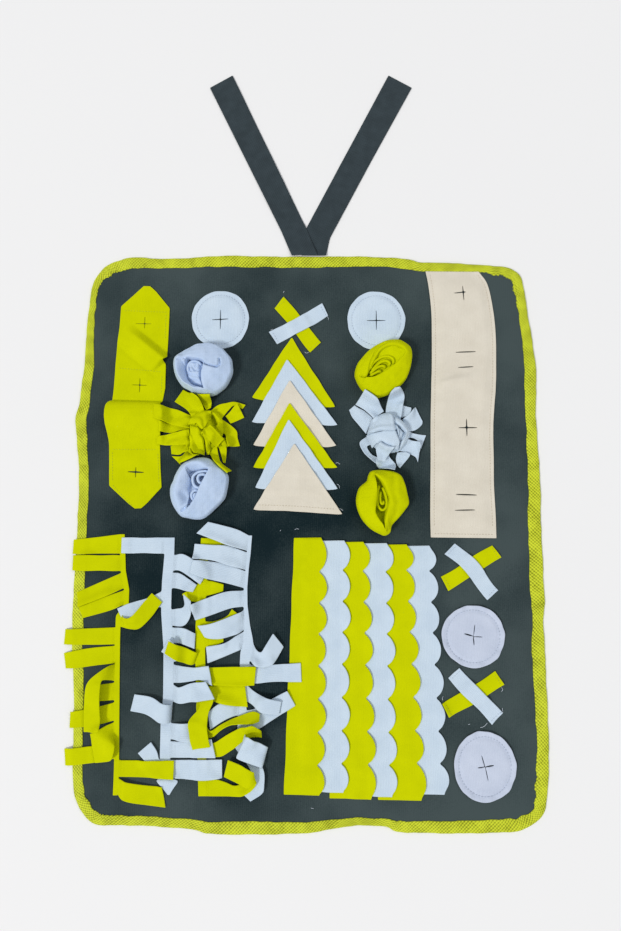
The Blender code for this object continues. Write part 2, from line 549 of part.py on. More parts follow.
def make_round_patches(ground, collection):
    sides = PATCH_SIDES
    for patch in ROUND_PATCHES:
        flat, lifts = [(patch.x, patch.y)], [0.0]
        for size, lift in ((PATCH_STITCHING / 2, 0.0), (PATCH_STITCHING, 0.0), (1.0, patch.rim_lift)):
            for k in range(sides):
                angle = 2 * math.pi * k / sides
                x = patch.x + size * patch.across * math.cos(angle)
                y = patch.y + size * patch.along * math.sin(angle)
                flat.append((x, y))
                lifts.append(lift)
        faces = [(0, 1 + k, 1 + (k + 1) % sides) for k in range(sides)]
        for ring in (1, 1 + sides):
            faces += [
                (ring + k, ring + sides + k, ring + sides + (k + 1) % sides, ring + (k + 1) % sides)
                for k in range(sides)
            ]
        lay_cloth(patch.name, flat, faces, patch.colour, ground, collection, lifts)


def make_triangles(ground, collection):
    """Each triangle lies on the foot of the one above it."""
    for row in TRIANGLES:
        apex = np.array([row.apex_x, row.apex_y])
        left = np.array([row.left_x, row.left_y])
        right = np.array([row.right_x, row.right_y])
        flat, index = [], {}
        for r in range(TRIANGLE_CUTS + 1):
            for c in range(r + 1):
                index[r, c] = len(flat)
                flat.append(apex + (left - apex) * (r - c) / TRIANGLE_CUTS + (right - apex) * c / TRIANGLE_CUTS)
        faces = []
        for r in range(TRIANGLE_CUTS):
            for c in range(r + 1):
                faces.append((index[r, c], index[r + 1, c], index[r + 1, c + 1]))
                if c < r:
                    faces.append((index[r, c], index[r + 1, c + 1], index[r, c + 1]))
        lay_cloth(row.name, flat, faces, row.colour, ground, collection)


def make_scallops(ground, collection):
    for row in SCALLOPS:
        flat = []
        rows = SCALLOP_COUNT * SCALLOP_STEPS + 1
        for r in range(rows):
            share = r / (rows - 1)
            y = row.top + (row.bottom - row.top) * share
            left = row.left_top + (row.left_low - row.left_top) * share
            notch = row.notch_top + (row.notch_low - row.notch_top) * share
            phase = (r % SCALLOP_STEPS) / SCALLOP_STEPS
            bulge = SCALLOP_END if r in (0, rows - 1) else math.sin(math.pi * phase) ** SCALLOP_ROUND
            edge = notch + SCALLOP_DEPTH * bulge
            flat += [(left, y), ((left + notch) / 2, y), (notch - SCALLOP_FOLD, y), (edge, y)]
        lay_cloth(row.name, flat, grid_faces(rows, 4), row.colour, ground, collection)


def make_cross_strips(ground, collection):
    for row in CROSS_STRIPS:
        start, end = np.array([row.x1, row.y1]), np.array([row.x2, row.y2])
        along = (end - start) / math.hypot(*(end - start))
        side = np.array([-along[1], along[0]]) * STRIP_WIDTH / 2
        flat = []
        for s in range(CROSS_STEPS + 1):
            middle = start + (end - start) * s / CROSS_STEPS
            flat += [middle - side, middle + side]
        lay_cloth(row.name, flat, grid_faces(CROSS_STEPS + 1, 2), row.colour, ground, collection)


def around(oval, size):
    """Points round an oval drawn smaller or larger, all starting from the same side."""
    turn = math.radians(oval.turn)
    line = []
    for k in range(ROSE_SPOKES):
        angle = 2 * math.pi * k / ROSE_SPOKES - turn
        u, v = size * oval.across * math.cos(angle), size * oval.along * math.sin(angle)
        line.append((oval.x + u * math.cos(turn) - v * math.sin(turn),
                     oval.y + u * math.sin(turn) + v * math.cos(turn)))
    return np.array(line)


def make_roses(ground, collection):
    """A rolled cup of cloth with a deep mouth, and the roll's heart at the bottom of it."""
    for rose in ROSES:
        rings = []
        for ring in ROSE_RINGS:
            cup = around(rose.cup, ring.size if ring.to_mouth == 0 else ROSE_SHOULDER)
            mouth = around(rose.mouth, ring.size if ring.to_mouth == 1 else 1.0)
            rings.append(cup + (mouth - cup) * ring.to_mouth)
        base = ground.rest(rings[0], [tuple(range(ROSE_SPOKES))]).max()
        points = [
            (*point, base + ring.height * ROSE_HEIGHT)
            for ring, line in zip(ROSE_RINGS, rings)
            for point in line
        ]
        add_object(rose.name, mesh_from(rose.name, points, loft(rings)), rose.colour, collection)
        widest = np.column_stack([rings[2], np.full(ROSE_SPOKES, base)])
        ground.lay(widest, [tuple(range(ROSE_SPOKES))], ROSE_HEIGHT)


def grow_petal(bm, face, middles, sides):
    """Draws a face out through the middles of a petal's underside, as wide as its side vectors."""
    for middle, side in zip(middles, sides):
        region = bmesh.ops.extrude_face_region(bm, geom=[face])
        bmesh.ops.delete(bm, geom=[face], context="FACES_ONLY")
        face = next(item for item in region["geom"] if isinstance(item, bmesh.types.BMFace))
        ordered = sorted(face.verts, key=lambda vert: vert.co.z)
        for level, pair in ((0.0, ordered[:2]), (FLEECE_THICK, ordered[2:])):
            pair.sort(key=lambda vert: vert.co.x * side[0] + vert.co.y * side[1])
            for sign, vert in zip((-1, 1), pair):
                vert.co = (middle[0] + sign * side[0], middle[1] + sign * side[1], middle[2] + level)


def free_sector(pompom, petal, taken):
    """The sector of the petal's band that faces its tip best and carries no petal yet."""
    toward = math.atan2(petal.tip_y - pompom.y, petal.tip_x - pompom.x)
    wanted = math.degrees(toward) / (360 / POMPOM_SECTORS) - 0.5
    half = POMPOM_SECTORS / 2
    nearest = sorted(range(POMPOM_SECTORS), key=lambda k: abs((k - wanted + half) % POMPOM_SECTORS - half))
    return next(k for k in nearest if (petal.band, k) not in taken)


def petal_line(petal, root, ground):
    """The middles of a petal's underside from its root on the dome, and its side vectors."""
    run = np.array([petal.tip_x, petal.tip_y]) - root[:2]
    side = np.array([-run[1], run[0]]) / math.hypot(*run)
    middles = [root[:2] + run * station.share for station in PETAL_STATIONS]
    sides = [side * PETAL_WIDTH * station.width / 2 for station in PETAL_STATIONS]
    strip = np.array([middle + half * sign for middle, half in zip(middles, sides) for sign in (-1, 1)])
    faces = grid_faces(len(middles), 2)
    levels = ground.rest(strip, faces).reshape(-1, 2).max(1)
    for k, station in enumerate(PETAL_STATIONS):
        falling = root[2] * (1 - station.share) ** PETAL_FALL
        levels[k] = max(levels[k], falling + petal.lift * math.sin(math.pi * station.share))
    ground.lay(np.column_stack([strip, np.repeat(levels, 2)]), faces, FLEECE_THICK)
    return [(*middle, level) for middle, level in zip(middles, levels)], sides


def make_pompoms(ground, collection):
    """A dome with petals drawn out of its faces: the low ones first, and then those over them."""
    sectors = POMPOM_SECTORS
    angles = [2 * math.pi * k / sectors for k in range(sectors)]
    for pompom in POMPOMS:
        rings = []
        for ring in DOME_RINGS:
            radius = ring.size * pompom.radius
            rings.append([(pompom.x + radius * math.cos(a), pompom.y + radius * math.sin(a)) for a in angles])
        base = ground.rest(np.array(rings[1]), [tuple(range(sectors))]).max()
        points = [
            (*point, base + ring.height * pompom.height)
            for ring, line in zip(DOME_RINGS, rings)
            for point in line
        ]
        bm = bmesh.new()
        verts = [bm.verts.new(point) for point in points]
        faces = [bm.faces.new([verts[k] for k in face]) for face in loft(rings)]
        bmesh.ops.recalc_face_normals(bm, faces=bm.faces)
        taken = set()
        for petal in pompom.petals:
            sector = free_sector(pompom, petal, taken)
            taken.add((petal.band, sector))
            face = faces[petal.band * sectors + sector]
            middles, sides = petal_line(petal, np.array(face.calc_center_median()), ground)
            grow_petal(bm, face, middles, sides)
        mesh = bpy.data.meshes.new(pompom.name)
        bm.to_mesh(mesh)
        bm.free()
        add_object(pompom.name, mesh, pompom.colour, collection)


class FringeStrip:
    """A sewn margin whose side edges carry tongues, all of one sheet."""

    def __init__(self, row, tongues, ground):
        self.row = row
        heights = {y for tongue in tongues if tongue.side != "end" for y in (tongue.top, tongue.bottom)}
        heights |= {row.seam[0][1], row.seam[-1][1]}
        self.heights = sorted(heights, reverse=True)
        seam_y = [-y for _, y in row.seam]
        seam_x = [x for x, _ in row.seam]
        flat = []
        for y in self.heights:
            x = float(np.interp(-y, seam_y, seam_x))
            flat += [(x - row.left_of_seam, y), (x + row.right_of_seam, y)]
        self.faces = grid_faces(len(self.heights), 2)
        z = ground.rest(np.array(flat), self.faces)
        self.points = [(*point, height) for point, height in zip(flat, z)]
        ground.lay(np.array(self.points), self.faces, FLEECE_THICK)

    def root_of(self, tongue):
        """The two points of the margin that the tongue grows from, in order round the margin."""
        if tongue.side == "end":
            return len(self.heights) * 2 - 2, len(self.heights) * 2 - 1
        top, bottom = self.heights.index(tongue.top), self.heights.index(tongue.bottom)
        if tongue.side == "left":
            return top * 2, bottom * 2
        return bottom * 2 + 1, top * 2 + 1

    def add_tongue(self, tongue, ground):
        first, second = self.root_of(tongue)
        root = (np.array(self.points[first]) + np.array(self.points[second])) / 2
        middles, lifts = smooth_path([tuple(root[:2]), *tongue.path], [0.0, *tongue.lifts])
        flat = [self.points[first][:2], self.points[second][:2]]
        for k in range(1, len(middles)):
            after = middles[min(k + 1, len(middles) - 1)]
            along = after - middles[k - 1]
            side = np.array([-along[1], along[0]]) / math.hypot(*along) * tongue.width / 2
            flat += [middles[k] - side, middles[k] + side]
        flat = np.array(flat)
        faces = grid_faces(len(middles), 2)
        z = np.zeros(len(flat))
        for n, face in enumerate(faces):
            below = ground.highest(flat[list(face)], root=n == 0)
            z[list(face)] = np.maximum(z[list(face)], below + GAP)
        z += np.repeat(lifts, 2)
        z[0], z[1] = self.points[first][2], self.points[second][2]
        laid = np.column_stack([flat, z])
        ground.lay(laid, faces, FLEECE_THICK)
        start = len(self.points) - 2
        self.points += [tuple(point) for point in laid[2:]]
        number = {0: first, 1: second}
        for face in faces:
            self.faces.append(tuple(number.get(k, start + k) for k in face))

    def build(self, collection):
        add_cloth(self.row.name, self.points, self.faces, self.row.colour, collection)


def smooth_path(points, lifts):
    """Even steps along a curve through the points, and the lift at each of them."""
    lifts = [*lifts, *[0.0] * (len(points) - len(lifts))]
    ends = [points[0], *points, points[-1]]
    fine, fine_lifts = [], []
    for k in range(len(points) - 1):
        p0, p1, p2, p3 = (np.array(p) for p in ends[k:k + 4])
        for s in np.linspace(0, 1, CURVE_STEPS, endpoint=k == len(points) - 2):
            fine.append(0.5 * (2 * p1 + (p2 - p0) * s + (2 * p0 - 5 * p1 + 4 * p2 - p3) * s**2
                               + (3 * p1 - p0 - 3 * p2 + p3) * s**3))
            fine_lifts.append(lifts[k] + (lifts[k + 1] - lifts[k]) * s)
    fine = np.array(fine)
    run = np.concatenate([[0.0], np.cumsum(np.hypot(*np.diff(fine, axis=0).T))])
    steps = max(3, round(run[-1] / TONGUE_STEP))
    stations = np.linspace(0, run[-1], steps + 1)
    x, y = np.interp(stations, run, fine[:, 0]), np.interp(stations, run, fine[:, 1])
    return np.column_stack([x, y]), np.interp(stations, run, fine_lifts)


def make_fringes(ground, collection):
    strips = {
        row.name: FringeStrip(row, [t for t in TONGUES if t.fringe == row.name], ground) for row in FRINGES
    }
    for tongue in TONGUES:
        strips[tongue.fringe].add_tongue(tongue, ground)
    for strip in strips.values():
        strip.build(collection)


def main():
    clear_scene()
    collection = bpy.data.collections.new("Snuffle mat")
    bpy.context.scene.collection.children.link(collection)
    ground = Ground((-0.34, -0.40), (0.34, 0.66))
    make_panel(collection)
    make_binding(ground, collection)
    make_ties(ground, collection)
    make_round_patches(ground, collection)
    make_pocket_strip(ground, collection)
    make_tunnel_strip(ground, collection)
    make_triangles(ground, collection)
    make_scallops(ground, collection)
    make_cross_strips(ground, collection)
    make_roses(ground, collection)
    make_pompoms(ground, collection)
    make_fringes(ground, collection)


main()
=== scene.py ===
import math

import bmesh
import bpy
import numpy as np
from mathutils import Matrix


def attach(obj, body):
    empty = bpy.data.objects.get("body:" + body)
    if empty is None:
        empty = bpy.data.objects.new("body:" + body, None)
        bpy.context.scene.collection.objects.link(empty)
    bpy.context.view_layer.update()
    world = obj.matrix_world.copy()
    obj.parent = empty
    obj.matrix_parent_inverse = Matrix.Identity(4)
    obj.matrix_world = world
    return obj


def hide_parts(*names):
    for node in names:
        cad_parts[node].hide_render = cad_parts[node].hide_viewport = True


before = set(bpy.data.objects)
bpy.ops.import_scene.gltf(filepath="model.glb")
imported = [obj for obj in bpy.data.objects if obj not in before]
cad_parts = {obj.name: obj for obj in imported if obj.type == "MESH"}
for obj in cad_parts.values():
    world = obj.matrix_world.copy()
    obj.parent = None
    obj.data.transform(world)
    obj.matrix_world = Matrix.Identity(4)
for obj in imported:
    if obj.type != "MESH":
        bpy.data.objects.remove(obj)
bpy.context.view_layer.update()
print("frame loaded,", len(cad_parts), "nodes")


# ---- camera, floor and light ----

view = {"place": (0.0, -0.0122, 0.7638), "tilt": 6.7, "lens": 24.01, "sensor": 36.0}
studio = {
    "floor": (0.875, 0.870, 0.870), "floorHalf": 4.0, "floorLow": -0.0003,
    "sky": (0.95, 0.97, 1.0), "skyPower": 0.49,
    "keyLight": {"place": (-8.3, -6.0, 12.0), "size": 3.0, "power": 1360.0, "colour": (1.0, 0.99, 0.97)},
    "fillLight": {"place": (7.5, 5.0, 12.0), "size": 8.0, "power": 400.0, "colour": (1.0, 1.0, 1.0)},
}


def putInScene(name, data, place=(0.0, 0.0, 0.0)):
    obj = bpy.data.objects.new(name, data)
    obj.location = place
    bpy.context.scene.collection.objects.link(obj)
    return obj


def addCamera():
    data = bpy.data.cameras.new("camera")
    data.lens = view["lens"]
    data.sensor_width = view["sensor"]
    camera = putInScene("camera", data, view["place"])
    camera.rotation_euler = (math.radians(view["tilt"]), 0.0, 0.0)
    bpy.context.scene.camera = camera


def addLamp(name):
    data = bpy.data.lights.new(name, "AREA")
    data.size = studio[name]["size"]
    data.energy = studio[name]["power"]
    data.color = studio[name]["colour"]
    lamp = putInScene(name, data, studio[name]["place"])
    lamp.rotation_euler = (-lamp.location).to_track_quat("-Z", "Y").to_euler()


def addStudio():
    world = bpy.data.worlds.new("studio")
    world.use_nodes = True
    sky = world.node_tree.nodes["Background"]
    sky.inputs["Color"].default_value = (*studio["sky"], 1.0)
    sky.inputs["Strength"].default_value = studio["skyPower"]
    bpy.context.scene.world = world
    bpy.context.scene.view_settings.view_transform = "Standard"
    addLamp("keyLight")
    addLamp("fillLight")
    half = studio["floorHalf"]
    corners = [(-half, -half), (half, -half), (half, half), (-half, half)]
    mesh = bpy.data.meshes.new("floor")
    mesh.from_pydata([(x, y, studio["floorLow"]) for x, y in corners], [], [(0, 1, 2, 3)])
    mesh.materials.append(floorMaterial())
    putInScene("floor", mesh)


# ---- node groups that several materials use ----

class Wire:  # a socket that can be reckoned with: each sign puts a Math node in
    def __init__(self, tree, socket):
        self.tree, self.socket = tree, socket

    def reckon(self, operation, *values):
        node = self.tree.nodes.new("ShaderNodeMath")
        node.operation = operation
        for place, value in zip(node.inputs, values):
            feed(self.tree, place, value)
        return Wire(self.tree, node.outputs[0])

    def __add__(self, other):
        return self.reckon("ADD", self, other)

    def __sub__(self, other):
        return self.reckon("SUBTRACT", self, other)

    def __rsub__(self, other):
        return self.reckon("SUBTRACT", other, self)

    def __mul__(self, other):
        return self.reckon("MULTIPLY", self, other)

    def __truediv__(self, other):
        return self.reckon("DIVIDE", self, other)

    def wave(self):  # a sine wave between -1 and 1, one for every whole number
        turns = self * (2 * math.pi)
        return turns.reckon("SINE", turns)


def feed(tree, place, value):
    if isinstance(value, Wire):
        tree.links.new(value.socket, place)
    else:
        place.default_value = value


def newGroup(name, inputs):
    group = bpy.data.node_groups.new(name, "ShaderNodeTree")
    for label, value in inputs.items():
        kind = "NodeSocketColor" if isinstance(value, tuple) else "NodeSocketFloat"
        group.interface.new_socket(label, in_out="INPUT", socket_type=kind).default_value = value
    outputs = {"Colour": "NodeSocketColor", "Roughness": "NodeSocketFloat", "Height": "NodeSocketFloat"}
    for label, kind in outputs.items():
        group.interface.new_socket(label, in_out="OUTPUT", socket_type=kind)
    given = group.nodes.new("NodeGroupInput")
    cloth = group.nodes.new("ShaderNodeUVMap")
    cloth.uv_map = "cloth"
    parts = group.nodes.new("ShaderNodeSeparateXYZ")
    group.links.new(cloth.outputs[0], parts.inputs[0])
    sockets = {label: Wire(group, given.outputs[label]) for label in inputs}
    return group, sockets, Wire(group, parts.outputs["X"]), Wire(group, parts.outputs["Y"])


def noise(tree, scale, detail, roughness):
    place = tree.nodes.new("ShaderNodeTexCoord")
    node = tree.nodes.new("ShaderNodeTexNoise")
    node.inputs["Detail"].default_value = detail
    node.inputs["Roughness"].default_value = roughness
    feed(tree, node.inputs["Scale"], scale)
    tree.links.new(place.outputs["Object"], node.inputs["Vector"])
    return Wire(tree, node.outputs["Fac"])


def mixColours(tree, factor, a, b):
    node = tree.nodes.new("ShaderNodeMix")
    node.data_type = "RGBA"
    sockets = {socket.identifier: socket for socket in (*node.inputs, *node.outputs)}
    for name, value in (("Factor_Float", factor), ("A_Color", a), ("B_Color", b)):
        feed(tree, sockets[name], value)
    return Wire(tree, sockets["Result_Color"])


def endGroup(group, mask, a, b, roughness, height):  # the mask, from 0 to 1, leads from colour a to colour b
    clamp = group.nodes.new("ShaderNodeClamp")
    feed(group, clamp.inputs["Value"], mask)
    out = group.nodes.new("NodeGroupOutput")
    feed(group, out.inputs["Colour"], mixColours(group, Wire(group, clamp.outputs[0]), a, b))
    feed(group, out.inputs["Roughness"], roughness)
    feed(group, out.inputs["Height"], height)
    return group


def napGroup():  # short brushed pile, with faint ribs along the cloth's length
    group, given, across, _ = newGroup("brushedNap", {
        "Colour": (1, 1, 1, 1), "Shade Colour": (0.8, 0.8, 0.8, 1), "Pile Scale": 1100.0, "Patch Scale": 45.0,
        "Patch Depth": 1.0, "Rib Width": 0.0019, "Rib Depth": 0.3, "Painted Sheen": 0.0})
    pile = noise(group, given["Pile Scale"], 3.0, 0.65)
    patch = noise(group, given["Patch Scale"], 3.0, 0.55)
    ribs = ((across + patch * 0.0035) / given["Rib Width"]).wave() * pile * given["Rib Depth"]
    shade = (0.5 - patch) * given["Patch Depth"] + (0.5 - pile) * 0.9 + 0.45
    shade = shade + given["Painted Sheen"] * 0.24 - ribs * 0.5
    # painted sheen: with this value the nap is painted darker near the mat's middle and paler the further it
    # is from it
    place = group.nodes.new("ShaderNodeTexCoord")
    spread = group.nodes.new("ShaderNodeVectorMath")
    spread.operation = "DISTANCE"
    spread.inputs[1].default_value = (-0.07, 0.0, 0.0)
    group.links.new(place.outputs["Object"], spread.inputs[0])
    shade = shade - Wire(group, spread.outputs["Value"]) * given["Painted Sheen"]
    return endGroup(group, shade, given["Colour"], given["Shade Colour"], pile * 0.2 + 0.80, pile + ribs)


def weaveGroup():  # slanting threads of a woven tape, crossed by finer ones
    group, given, along, across = newGroup("slantWeave", {
        "Colour": (1, 1, 1, 1), "Thread Colour": (0.8, 0.8, 0.8, 1), "Pitch": 0.0022,
        "Slope": 1.2, "Contrast": 0.6})
    wear = noise(group, 70.0, 4.0, 0.6)
    grain = noise(group, 900.0, 2.0, 0.6)
    along = along + wear * 0.0045
    first = ((along + across * given["Slope"]) / given["Pitch"]).wave()
    second = ((along - across * given["Slope"]) / given["Pitch"]).wave()
    threads = first * 0.28 + second * 0.17 + 0.5
    mask = threads * given["Contrast"] + (wear - 0.5) * 1.5 + (grain - 0.5) * 0.9
    return endGroup(group, mask, given["Thread Colour"], given["Colour"], grain * 0.3 + 0.62, threads)


def newMaterial(name, settings):
    material = bpy.data.materials.new(name)
    material.use_nodes = True
    shader = material.node_tree.nodes["Principled BSDF"]
    for label, value in settings.items():
        shader.inputs[label].default_value = value
    return material, material.node_tree, shader


# bump: strength and depth; sheen: amount and colour
def clothMaterial(name, group, values, bump, sheen, gloss=0.25):
    material, tree, shader = newMaterial(name, {
        "Sheen Weight": sheen[0], "Sheen Tint": (*sheen[1], 1.0), "Sheen Roughness": 0.5,
        "Specular IOR Level": gloss})
    effect = tree.nodes.new("ShaderNodeGroup")
    effect.node_tree = group
    for label, value in values.items():
        effect.inputs[label].default_value = (*value, 1.0) if isinstance(value, tuple) else value
    relief = tree.nodes.new("ShaderNodeBump")
    relief.inputs["Strength"].default_value = bump[0]
    relief.inputs["Distance"].default_value = bump[1]
    tree.links.new(effect.outputs["Colour"], shader.inputs["Base Color"])
    tree.links.new(effect.outputs["Roughness"], shader.inputs["Roughness"])
    tree.links.new(effect.outputs["Height"], relief.inputs["Height"])
    tree.links.new(relief.outputs["Normal"], shader.inputs["Normal"])
    return material


def floorMaterial():
    material, tree, shader = newMaterial("palePaper", {"Roughness": 0.8, "Specular IOR Level": 0.1})
    pale = (*studio["floor"], 1.0)
    dull = (*(c * 0.985 for c in studio["floor"]), 1.0)
    feed(tree, shader.inputs["Base Color"], mixColours(tree, noise(tree, 2.5, 2.0, 0.5), pale, dull))
    return material


def linear(*colour):  # a colour as a screen shows it, 0 to 255, made linear
    parts = [c / 255 for c in colour]
    return tuple(c / 12.92 if c <= 0.04045 else ((c + 0.055) / 1.055) ** 2.4 for c in parts)


napCloths = {  # colour, the shade between the fibres, rib depth, and the colour of the fibres' sheen
    "limeFleece": (linear(208, 214, 0), linear(188, 196, 0), 0.25, (0.85, 0.9, 0.0)),
    "iceFleece": (linear(209, 224, 237), linear(186, 204, 222), 0.45, (0.9, 0.95, 1.0)),
    # the roses' fleece is the ice fleece made darker and bluer: a painted shade, so that the rolled folds
    # shade blue
    "roseShadedIceFleece": (linear(200, 217, 241), linear(174, 196, 227), 0.20, (0.85, 0.93, 1.0)),
    "lilacFleece": (linear(206, 214, 231), linear(184, 194, 214), 0.30, (0.95, 0.95, 1.0)),
    "sandFleece": (linear(228, 221, 206), linear(209, 201, 185), 0.30, (1.0, 0.97, 0.92)),
}
threads = {
    "limeThread": (linear(206, 212, 50), linear(184, 190, 24)),
    "paleThread": (linear(214, 222, 232), linear(192, 202, 214)),
    "sandThread": (linear(212, 202, 184), linear(192, 182, 164)),
    "greyThread": (linear(197, 206, 219), linear(180, 190, 205)),
}
# the felt's last value paints a sheen: it is painted darker near the mat's middle and paler towards its edges
feltNap = {"Colour": linear(67, 79, 80), "Shade Colour": linear(13, 31, 36), "Pile Scale": 750.0,
           "Patch Scale": 7.0, "Patch Depth": 2.2, "Rib Width": 0.0024, "Rib Depth": 0.22, "Painted Sheen": 2.3}
tapeWeave = {"Colour": linear(54, 66, 72), "Thread Colour": linear(38, 49, 54), "Pitch": 0.0030, "Slope": 1.0,
             "Contrast": 0.8}
ribbonWeave = {"Colour": linear(212, 222, 48), "Thread Colour": linear(128, 134, 4), "Pitch": 0.0041,
               "Slope": 1.1, "Contrast": 1.3}


def makeMaterials():
    nap, weave = napGroup(), weaveGroup()
    white = (1.0, 1.0, 1.0)
    made = {}
    for name, (colour, shade, ribDepth, glow) in napCloths.items():
        values = {"Colour": colour, "Shade Colour": shade, "Rib Depth": ribDepth}
        gloss = 0.04 if name == "limeFleece" else 0.15
        made[name] = clothMaterial(name, nap, values, (0.45, 0.0007), (0.20, glow), gloss)
    made["slateFelt"] = clothMaterial("slateFelt", nap, feltNap, (0.45, 0.0007), (0.05, white), 0.10)
    made["webbing"] = clothMaterial("webbing", weave, tapeWeave, (0.30, 0.0003), (0.10, white))
    sheen = (0.15, (0.9, 0.95, 0.4))
    made["limeRibbon"] = clothMaterial("limeRibbon", weave, ribbonWeave, (0.5, 0.0005), sheen)
    for name, (colour, shade) in threads.items():
        values = {"Colour": colour, "Shade Colour": shade, "Rib Depth": 0.0, "Pile Scale": 2200.0}
        made[name] = clothMaterial(name, nap, values, (0.3, 0.0002), (0.1, colour))
    print("materials made:", len(made))
    return made


# ---- shapes that everything is made from ----

fleece = 0.0013  # thickness of the fleece, in metres
clear = 0.0002  # room between a cloth and what it lies on


def mm(values):  # millimetres to metres
    return np.array(values, float) / 1000


def ripple(x, y, size, seed):  # smooth uneven waves between -1 and 1, about this long in metres
    total = 0.0
    for k in range(4):
        turn = seed * 1.7 + k * 2.4
        step = 2 * math.pi / size * (0.75 + 0.35 * k)
        total = total + np.sin(step * (x * math.cos(turn) + y * math.sin(turn)) + seed * 3.1 + k * 1.3)
    return total / 4


def curveThrough(points, closed=False, fine=12):  # Catmull-Rom through rows of any number of columns
    points = np.asarray(points, float)
    if closed:
        ends = np.concatenate([points[-1:], points, points[:2]])
    else:
        ends = np.concatenate([points[:1] * 2 - points[1:2], points, points[-1:] * 2 - points[-2:-1]])
    line = []
    for k in range(len(ends) - 3):
        p0, p1, p2, p3 = ends[k:k + 4]
        for s in np.arange(fine) / fine:
            line.append(0.5 * (2 * p1 + (p2 - p0) * s + (2 * p0 - 5 * p1 + 4 * p2 - p3) * s**2
                               + (3 * p1 - p0 - 3 * p2 + p3) * s**3))
    if not closed:
        line.append(points[-1])
    return np.array(line)


def lengths(line):  # distance run along a line, seen from above
    return np.concatenate([[0.0], np.cumsum(np.hypot(*np.diff(line[:, :2], axis=0).T))])


def resample(line, run, stations):
    return np.column_stack([np.interp(stations, run, column) for column in line.T])


def evenSteps(line, step, closed=False):  # the same line, resampled at even distances in x and y
    if closed:
        line = np.concatenate([line, line[:1]])
    run = lengths(line)
    stations = np.linspace(0, run[-1], max(3, round(run[-1] / step)) + 1)
    if closed:
        stations = stations[:-1]
    return resample(line, run, stations), stations


def withEdges(count, edge):  # shares from 0 to 1, with one more close to each end to keep the rim crisp
    return np.concatenate([[0.0, edge], np.linspace(0, 1, count)[1:-1], [1 - edge, 1.0]])


def nearestOn(places, x, y):  # the least distance from each corner of a grid to a row of places
    return np.hypot(x[..., None] - places[:, 0], y[..., None] - places[:, 1]).min(-1)


def disc(shares):  # a square grid from -1 to 1, bent into a round one
    a, b = np.meshgrid(shares, shares, indexing="ij")
    return b * np.sqrt(1 - a * a / 2), a * np.sqrt(1 - b * b / 2)


class Ground:  # the height of all that has been laid so far
    cell = 0.0008
    samples = 6
    low = np.array([-0.34, -0.40])
    high = np.array([0.34, 0.66])
    halves = slice(0, -1), slice(1, None)

    def __init__(self):
        self.height = np.zeros(np.ceil((self.high - self.low) / self.cell).astype(int) + 1)

    def cells(self, x, y):
        return ((x - self.low[0]) / self.cell).astype(int), ((y - self.low[1]) / self.cell).astype(int)

    def at(self, x, y):
        return self.height[self.cells(x, y)]

    def inFaces(self, *grid):  # evenly spread places in every face of a grid of points
        grid = np.stack(grid, -1)
        shares = (np.arange(self.samples) + 0.5) / self.samples
        a, b, c, d = grid[:-1, :-1], grid[:-1, 1:], grid[1:, 1:], grid[1:, :-1]
        s, t = np.meshgrid(shares, shares, indexing="ij")
        s, t = s.ravel()[:, None, None, None], t.ravel()[:, None, None, None]
        return np.moveaxis(a * (1 - s) * (1 - t) + b * (1 - s) * t + c * s * t + d * s * (1 - t), -1, 0)

    def under(self, x, y, held=0):  # the least height that keeps every corner's faces clear
        tops = self.at(*self.inFaces(x, y)).max(0)
        tops[:held] = 0.0
        lower = np.zeros(x.shape)
        for rows in self.halves:
            for columns in self.halves:
                lower[rows, columns] = np.maximum(lower[rows, columns], tops)
        return lower + clear

    def lay(self, x, y, top):
        x, y, top = (values.ravel() for values in self.inFaces(x, y, top))
        i, j = self.cells(x, y)
        for di, dj in ((0, 0), (1, 0), (-1, 0), (0, 1), (0, -1)):
            np.maximum.at(self.height, (i + di, j + dj), top)

    def settle(self, x, y, sag, rounds=60, root=None):  # cloth pulled flat by its weight over what it lies on
        held = 0 if root is None else 1
        lower = self.under(x, y, held)
        if held:
            lower[0] = root[:, 2]
        z = lower.copy()
        for _ in range(rounds):
            wide = np.pad(z, 1, mode="edge")
            mean = (wide[:-2, 1:-1] + wide[2:, 1:-1] + wide[1:-1, :-2] + wide[1:-1, 2:]) / 4
            moved = np.maximum(lower, mean - sag)
            moved[:held] = z[:held]
            z = moved
        return z


ground = Ground()


def setMap(mesh, uv):  # the cloth's own flat coordinates, in metres, for ribs and weave
    layer = mesh.uv_layers.new(name="cloth")
    corners = np.array([loop.vertex_index for loop in mesh.loops])
    layer.data.foreach_set("uv", np.asarray(uv, np.float32).reshape(-1, 2)[corners].ravel())


def makePiece(name, mesh, material, node, thick=0.0):  # a sheet is given its thickness and soft edges here
    piece = putInScene(name, mesh)
    mesh.materials.append(materials[material])
    mesh.polygons.foreach_set("use_smooth", [True] * len(mesh.polygons))
    if thick:
        solidify = piece.modifiers.new("thickness", "SOLIDIFY")
        solidify.thickness = thick
        solidify.offset = 0.0
        smooth = piece.modifiers.new("softEdges", "SUBSURF")
        smooth.levels = smooth.render_levels = 1
    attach(piece, "root")
    if node:
        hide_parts(node)
    return piece


def gridFaces(number):  # the faces between a grid's numbered corners
    corners = number[:-1, :-1], number[:-1, 1:], number[1:, 1:], number[1:, :-1]
    return np.stack(corners, -1).reshape(-1, 4).tolist()


def tubeFaces(rings, around, closed=False):  # joined up to itself where closed, or else shut at both ends
    first = np.arange(rings if closed else rings - 1)[:, None] * around
    second = (first + around) % (rings * around)
    k = np.arange(around)[None]
    after = (k + 1) % around
    faces = np.stack([first + k, first + after, second + after, second + k], -1).reshape(-1, 4).tolist()
    if not closed:
        faces += [list(range(around))[::-1], list(range((rings - 1) * around, rings * around))]
    return faces


